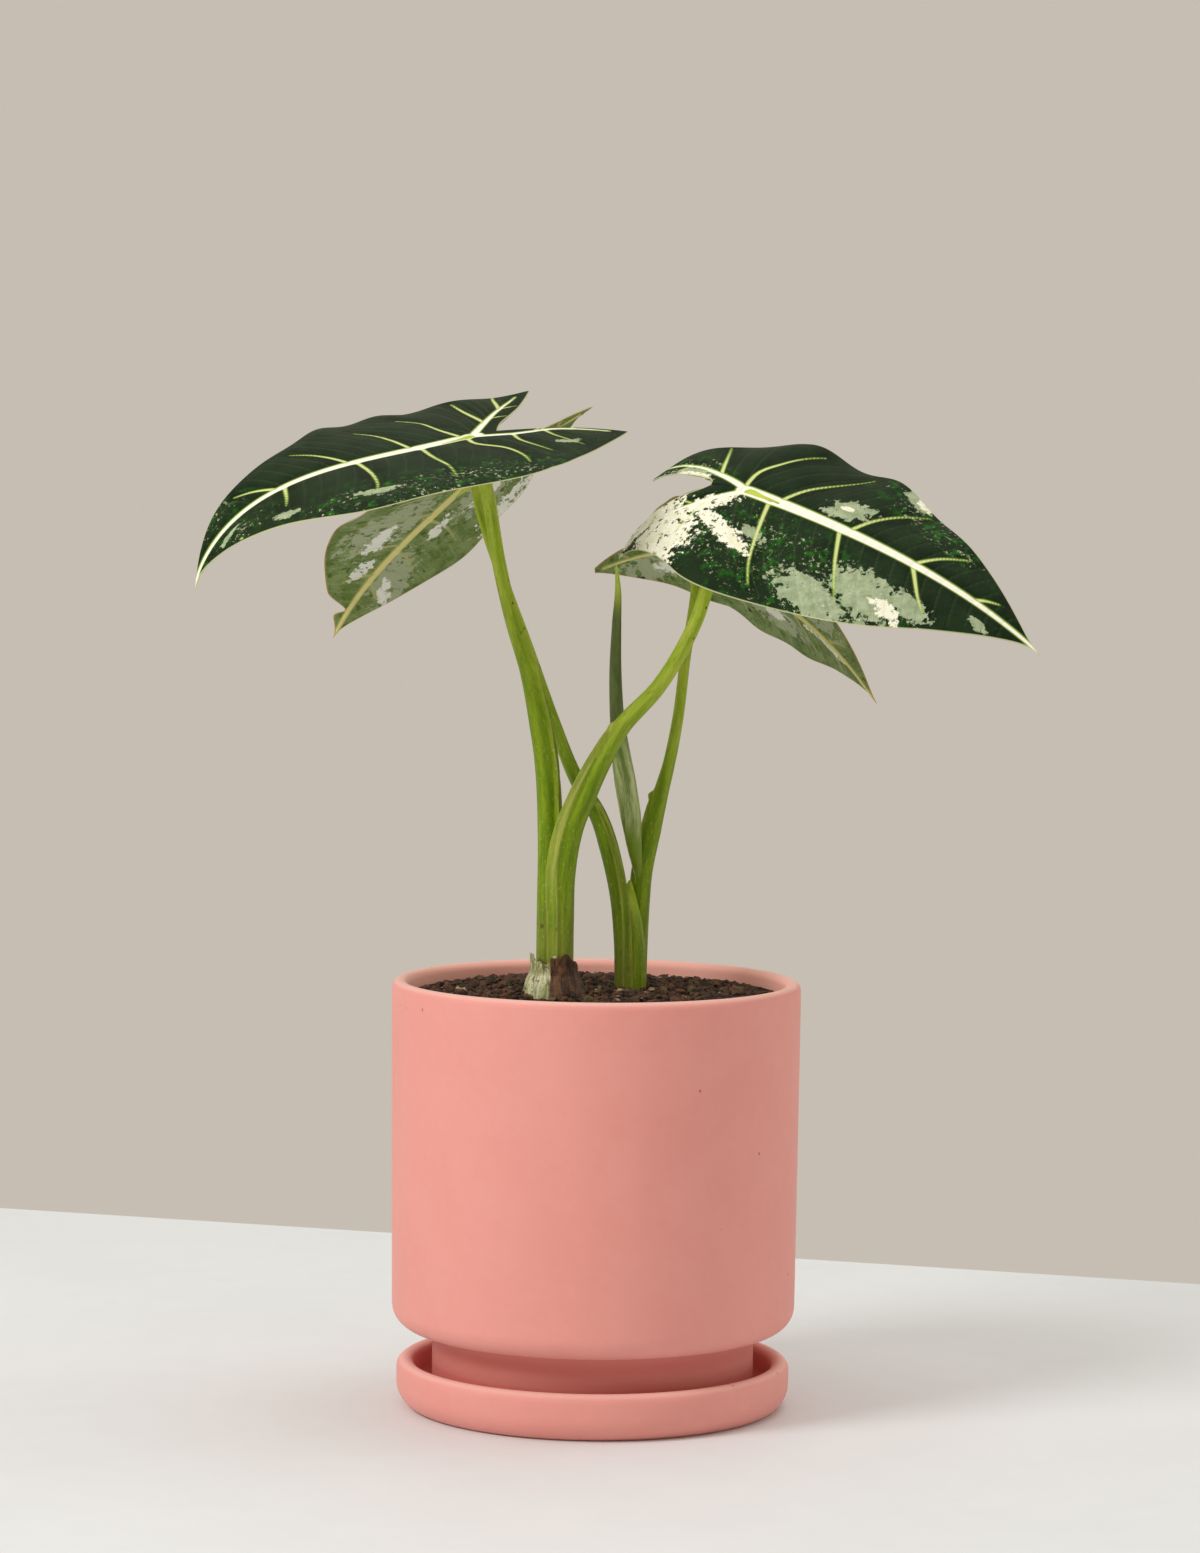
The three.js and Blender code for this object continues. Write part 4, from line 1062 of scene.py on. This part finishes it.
def spear_section(turn, height, radius):
    seam = (turn - math.radians(165) - (height - 60) / 46) % (2 * math.pi)
    lap = np.exp(-seam / 0.16) * 0.3 + np.exp(-(2 * math.pi - seam) / 0.05) * 0.05
    out = radius * (0.94 + 0.06 * np.cos(seam)) + lap * np.clip(radius / 2, 0.2, 1)
    return out, np.exp(-((seam / 0.14) ** 2))


rolled_leaf, tree, shader = new_material("rolled_leaf")
lay = read_attribute(tree, "lay", "Vector")
climb = read_attribute(tree, "climb")
drawn = stretched(tree, lay, (2.4, 0.25, 1.0))
dull_green = mottled(tree, drawn, 1.8, colour(66, 84, 22), colour(98, 112, 44))
pale_green = mottled(tree, drawn, 1.8, colour(100, 124, 36), colour(188, 198, 134))
skin = mixed(tree, ramp(tree, climb, 0.62, 0.42), dull_green, pale_green)
skin = mixed(tree, ramp(tree, climb, 0.8, 0.93), skin, colour(178, 198, 70))
skin = mixed(tree, ramp(tree, climb, 0.3, 0.2), skin, colour(116, 142, 14))
skin = laid(tree, skin, read_attribute(tree, "trim"), 0.8, colour(222, 222, 176))
marks = scattered(tree, lay, 11.0, 0.2)
skin = laid(tree, skin, marks, 0.22, colour(60, 76, 26))
wired(tree, skin, shader, "Base Color")
fine = cloud(tree, drawn, 14.0, 3.0, 0.6)
roughened(tree, shader, fine, 0.4, 0.56)
bumped(tree, shader, fine, 0.00018)

spear = rolled("spear_rolled", SPEAR_PATH, 64, 180, spear_section)
spear.data.materials.append(rolled_leaf)
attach(spear, "root")
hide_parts("spear_leaf")

# ---------------------------------------------------------------- dry sheaths
# Two dead leaf sheaths still wrapped round the left plant's neck, one papery pale, one brown.
# Each is a crumpled sheet with a torn top edge, bent round the neck and given its thickness.

NECK = (-14.3, -13.65)
NECK_HALF = (7.55, 9.75)
SHEATHS = {
    "papery_sheath": dict(start=142, end=276, low=-3.5, high=13, peak=0.5, slope=0.35, seed=2, off=0.45),
    "brown_sheath": dict(start=262, end=376, low=-3.5, high=15, peak=0.15, slope=0.95, seed=9, off=1.3),
}


def dead_tissue(name, first, second, stripe_from, stripe_share, stripe_colour, dullest, stain=None):
    """Mottled dead leaf tissue with lengthwise stripes, and stained in blots if a stain is given."""
    made, tree, shader = new_material(name)
    where = object_place(tree)
    dry = mottled(tree, where, 260.0, first, second)
    stripes = stretched(tree, read_attribute(tree, "lay", "Vector"), (9.0, 0.5, 1.0))
    stripe = cloud(tree, stripes, 3.0, 3.0, 0.6)
    dry = laid(tree, dry, ramp(tree, stripe, stripe_from, stripe_from + 0.12), stripe_share, stripe_colour)
    if stain:
        blots = ramp(tree, cloud(tree, where, 300.0, 5.0, 0.7), 0.54, 0.6)
        dry = laid(tree, dry, blots, 0.8, stain)
    wired(tree, dry, shader, "Base Color")
    roughened(tree, shader, stripe, 0.5, dullest)
    bumped(tree, shader, stripe, 0.0003)
    return made


papery = dead_tissue(
    "papery_sheath", colour(146, 156, 96), colour(214, 214, 178), 0.46, 0.6, colour(112, 100, 44), 0.8,
    colour(82, 52, 26),
)
withered = dead_tissue(
    "withered_sheath", colour(40, 22, 14), colour(108, 70, 36), 0.5, 0.7, colour(34, 20, 14), 0.85,
)

# How far down the neck, and the share it swells to there.
NECK_SHAPE = [(-1, 1), (0.5, 1), (2, 1.1), (6.5, 1.3), (16, 1.34)]
NECK_TOP = 6.5
SHEATH_THICKNESS = 0.4

for node, sheath in SHEATHS.items():
    notes = {}

    def place(across, along):
        turn = np.radians(sheath["start"] + (sheath["end"] - sheath["start"]) * across)
        torn = np.array([noise.noise(Vector((a * 4.5, sheath["seed"], 0))) for a in across])
        ragged = 1 - sheath["slope"] * np.abs(across - sheath["peak"])
        ragged += 0.3 * torn - 0.08 * np.sin(across * 11)
        height = sheath["low"] + along * (sheath["high"] - sheath["low"]) * np.clip(ragged, 0.3, 1)
        down = NECK_TOP - height
        swell = np.interp(down, [depth for depth, _ in NECK_SHAPE], [share for _, share in NECK_SHAPE])
        crumple = np.array([
            noise.fractal(Vector((a * 7, h * 0.16, sheath["seed"])), 1.0, 2.0, 3)
            for a, h in zip(across, height)
        ])
        gap = sheath["off"] + 0.5 * (crumple + 0.3) * np.clip(along * 2, 0, 1) - 0.25 * along**2
        notes["lay"] = np.stack([across, height / 10, 0 * across], 1)
        x = NECK[0] + (NECK_HALF[0] * swell + gap) * np.cos(turn)
        y = NECK[1] + (NECK_HALF[1] * swell + gap) * np.sin(turn)
        return np.stack([x, y, height + SOIL_TOP], 1)

    piece = formed_sheet(node + "_torn", 60, 40, place)
    mark(piece, "lay", notes["lay"])
    bpy.ops.object.shade_smooth()
    wall = piece.modifiers.new("wall", "SOLIDIFY")
    wall.thickness = SHEATH_THICKNESS * MM
    wall.offset = 1
    bpy.ops.object.modifier_apply(modifier=wall.name)
    piece.data.materials.append(papery if node == "papery_sheath" else withered)
    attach(piece, "root")
    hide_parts(node)

# ---------------------------------------------------------------- floor, light and camera
# A plain pale table top, a soft window light from the left, weaker light back off the far wall and
# the ceiling, and a pale room glow. The camera is 1.5 m in front, level with the leaves.

bpy.ops.object.select_all(action="DESELECT")
bpy.ops.mesh.primitive_plane_add(size=1)
table_top = bpy.context.object
table_top.name = "table_top"
for corner, spot in zip(table_top.data.vertices, [(-2.4, -2.2), (2.4, -2.2), (-2.4, 1.05), (2.4, -0.42)]):
    corner.co = (*spot, 0)
pale, tree, shader = new_material("pale_table")
where = object_place(tree)
wired(tree, mottled(tree, where, 9.0, colour(225, 229, 232), colour(228, 232, 235)), shader, "Base Color")
shader.inputs["Roughness"].default_value = 0.6
table_top.data.materials.append(pale)

world = bpy.data.worlds.new("room")
world.use_nodes = True
world.node_tree.nodes["Background"].inputs["Color"].default_value = colour(198, 190, 178)
world.node_tree.nodes["Background"].inputs["Strength"].default_value = 1.0
bpy.context.scene.world = world


def soft_light(name, place, target, size, power, tint):
    lamp = bpy.data.lights.new(name, "AREA")
    lamp.shape = "DISK"
    lamp.size = size
    lamp.energy = power
    lamp.color = tint
    holder = bpy.data.objects.new(name, lamp)
    bpy.context.scene.collection.objects.link(holder)
    holder.location = place
    aim = Vector(target) - Vector(place)
    holder.rotation_euler = aim.to_track_quat("-Z", "Y").to_euler()


soft_light("window", (-1.3, -0.9, 1.3), (0, 0, 0.13), 0.75, 20, (1.0, 0.99, 0.98))
soft_light("far_wall", (1.2, 0.35, 0.5), (0, 0, 0.12), 0.7, 2.0, (1.0, 0.98, 0.98))
soft_light("ceiling", (0.3, 0.2, 1.7), (0, 0, 0.15), 1.4, 7, (0.97, 0.99, 1.0))

LOOK_DOWN = 0.0681
CAMERA_ROLL = 0.0111
lens = bpy.data.cameras.new("camera")
lens.lens = 105.5
lens.sensor_width = 36
camera = bpy.data.objects.new("camera", lens)
bpy.context.scene.collection.objects.link(camera)
camera.location = (0.00037, -1.5445, 0.3208)
tilt = Matrix.Rotation(math.pi / 2 - LOOK_DOWN, 3, "X")
camera.rotation_euler = (tilt @ Matrix.Rotation(CAMERA_ROLL, 3, "Z")).to_euler()
bpy.context.scene.camera = camera
bpy.context.scene.view_settings.view_transform = "Standard"
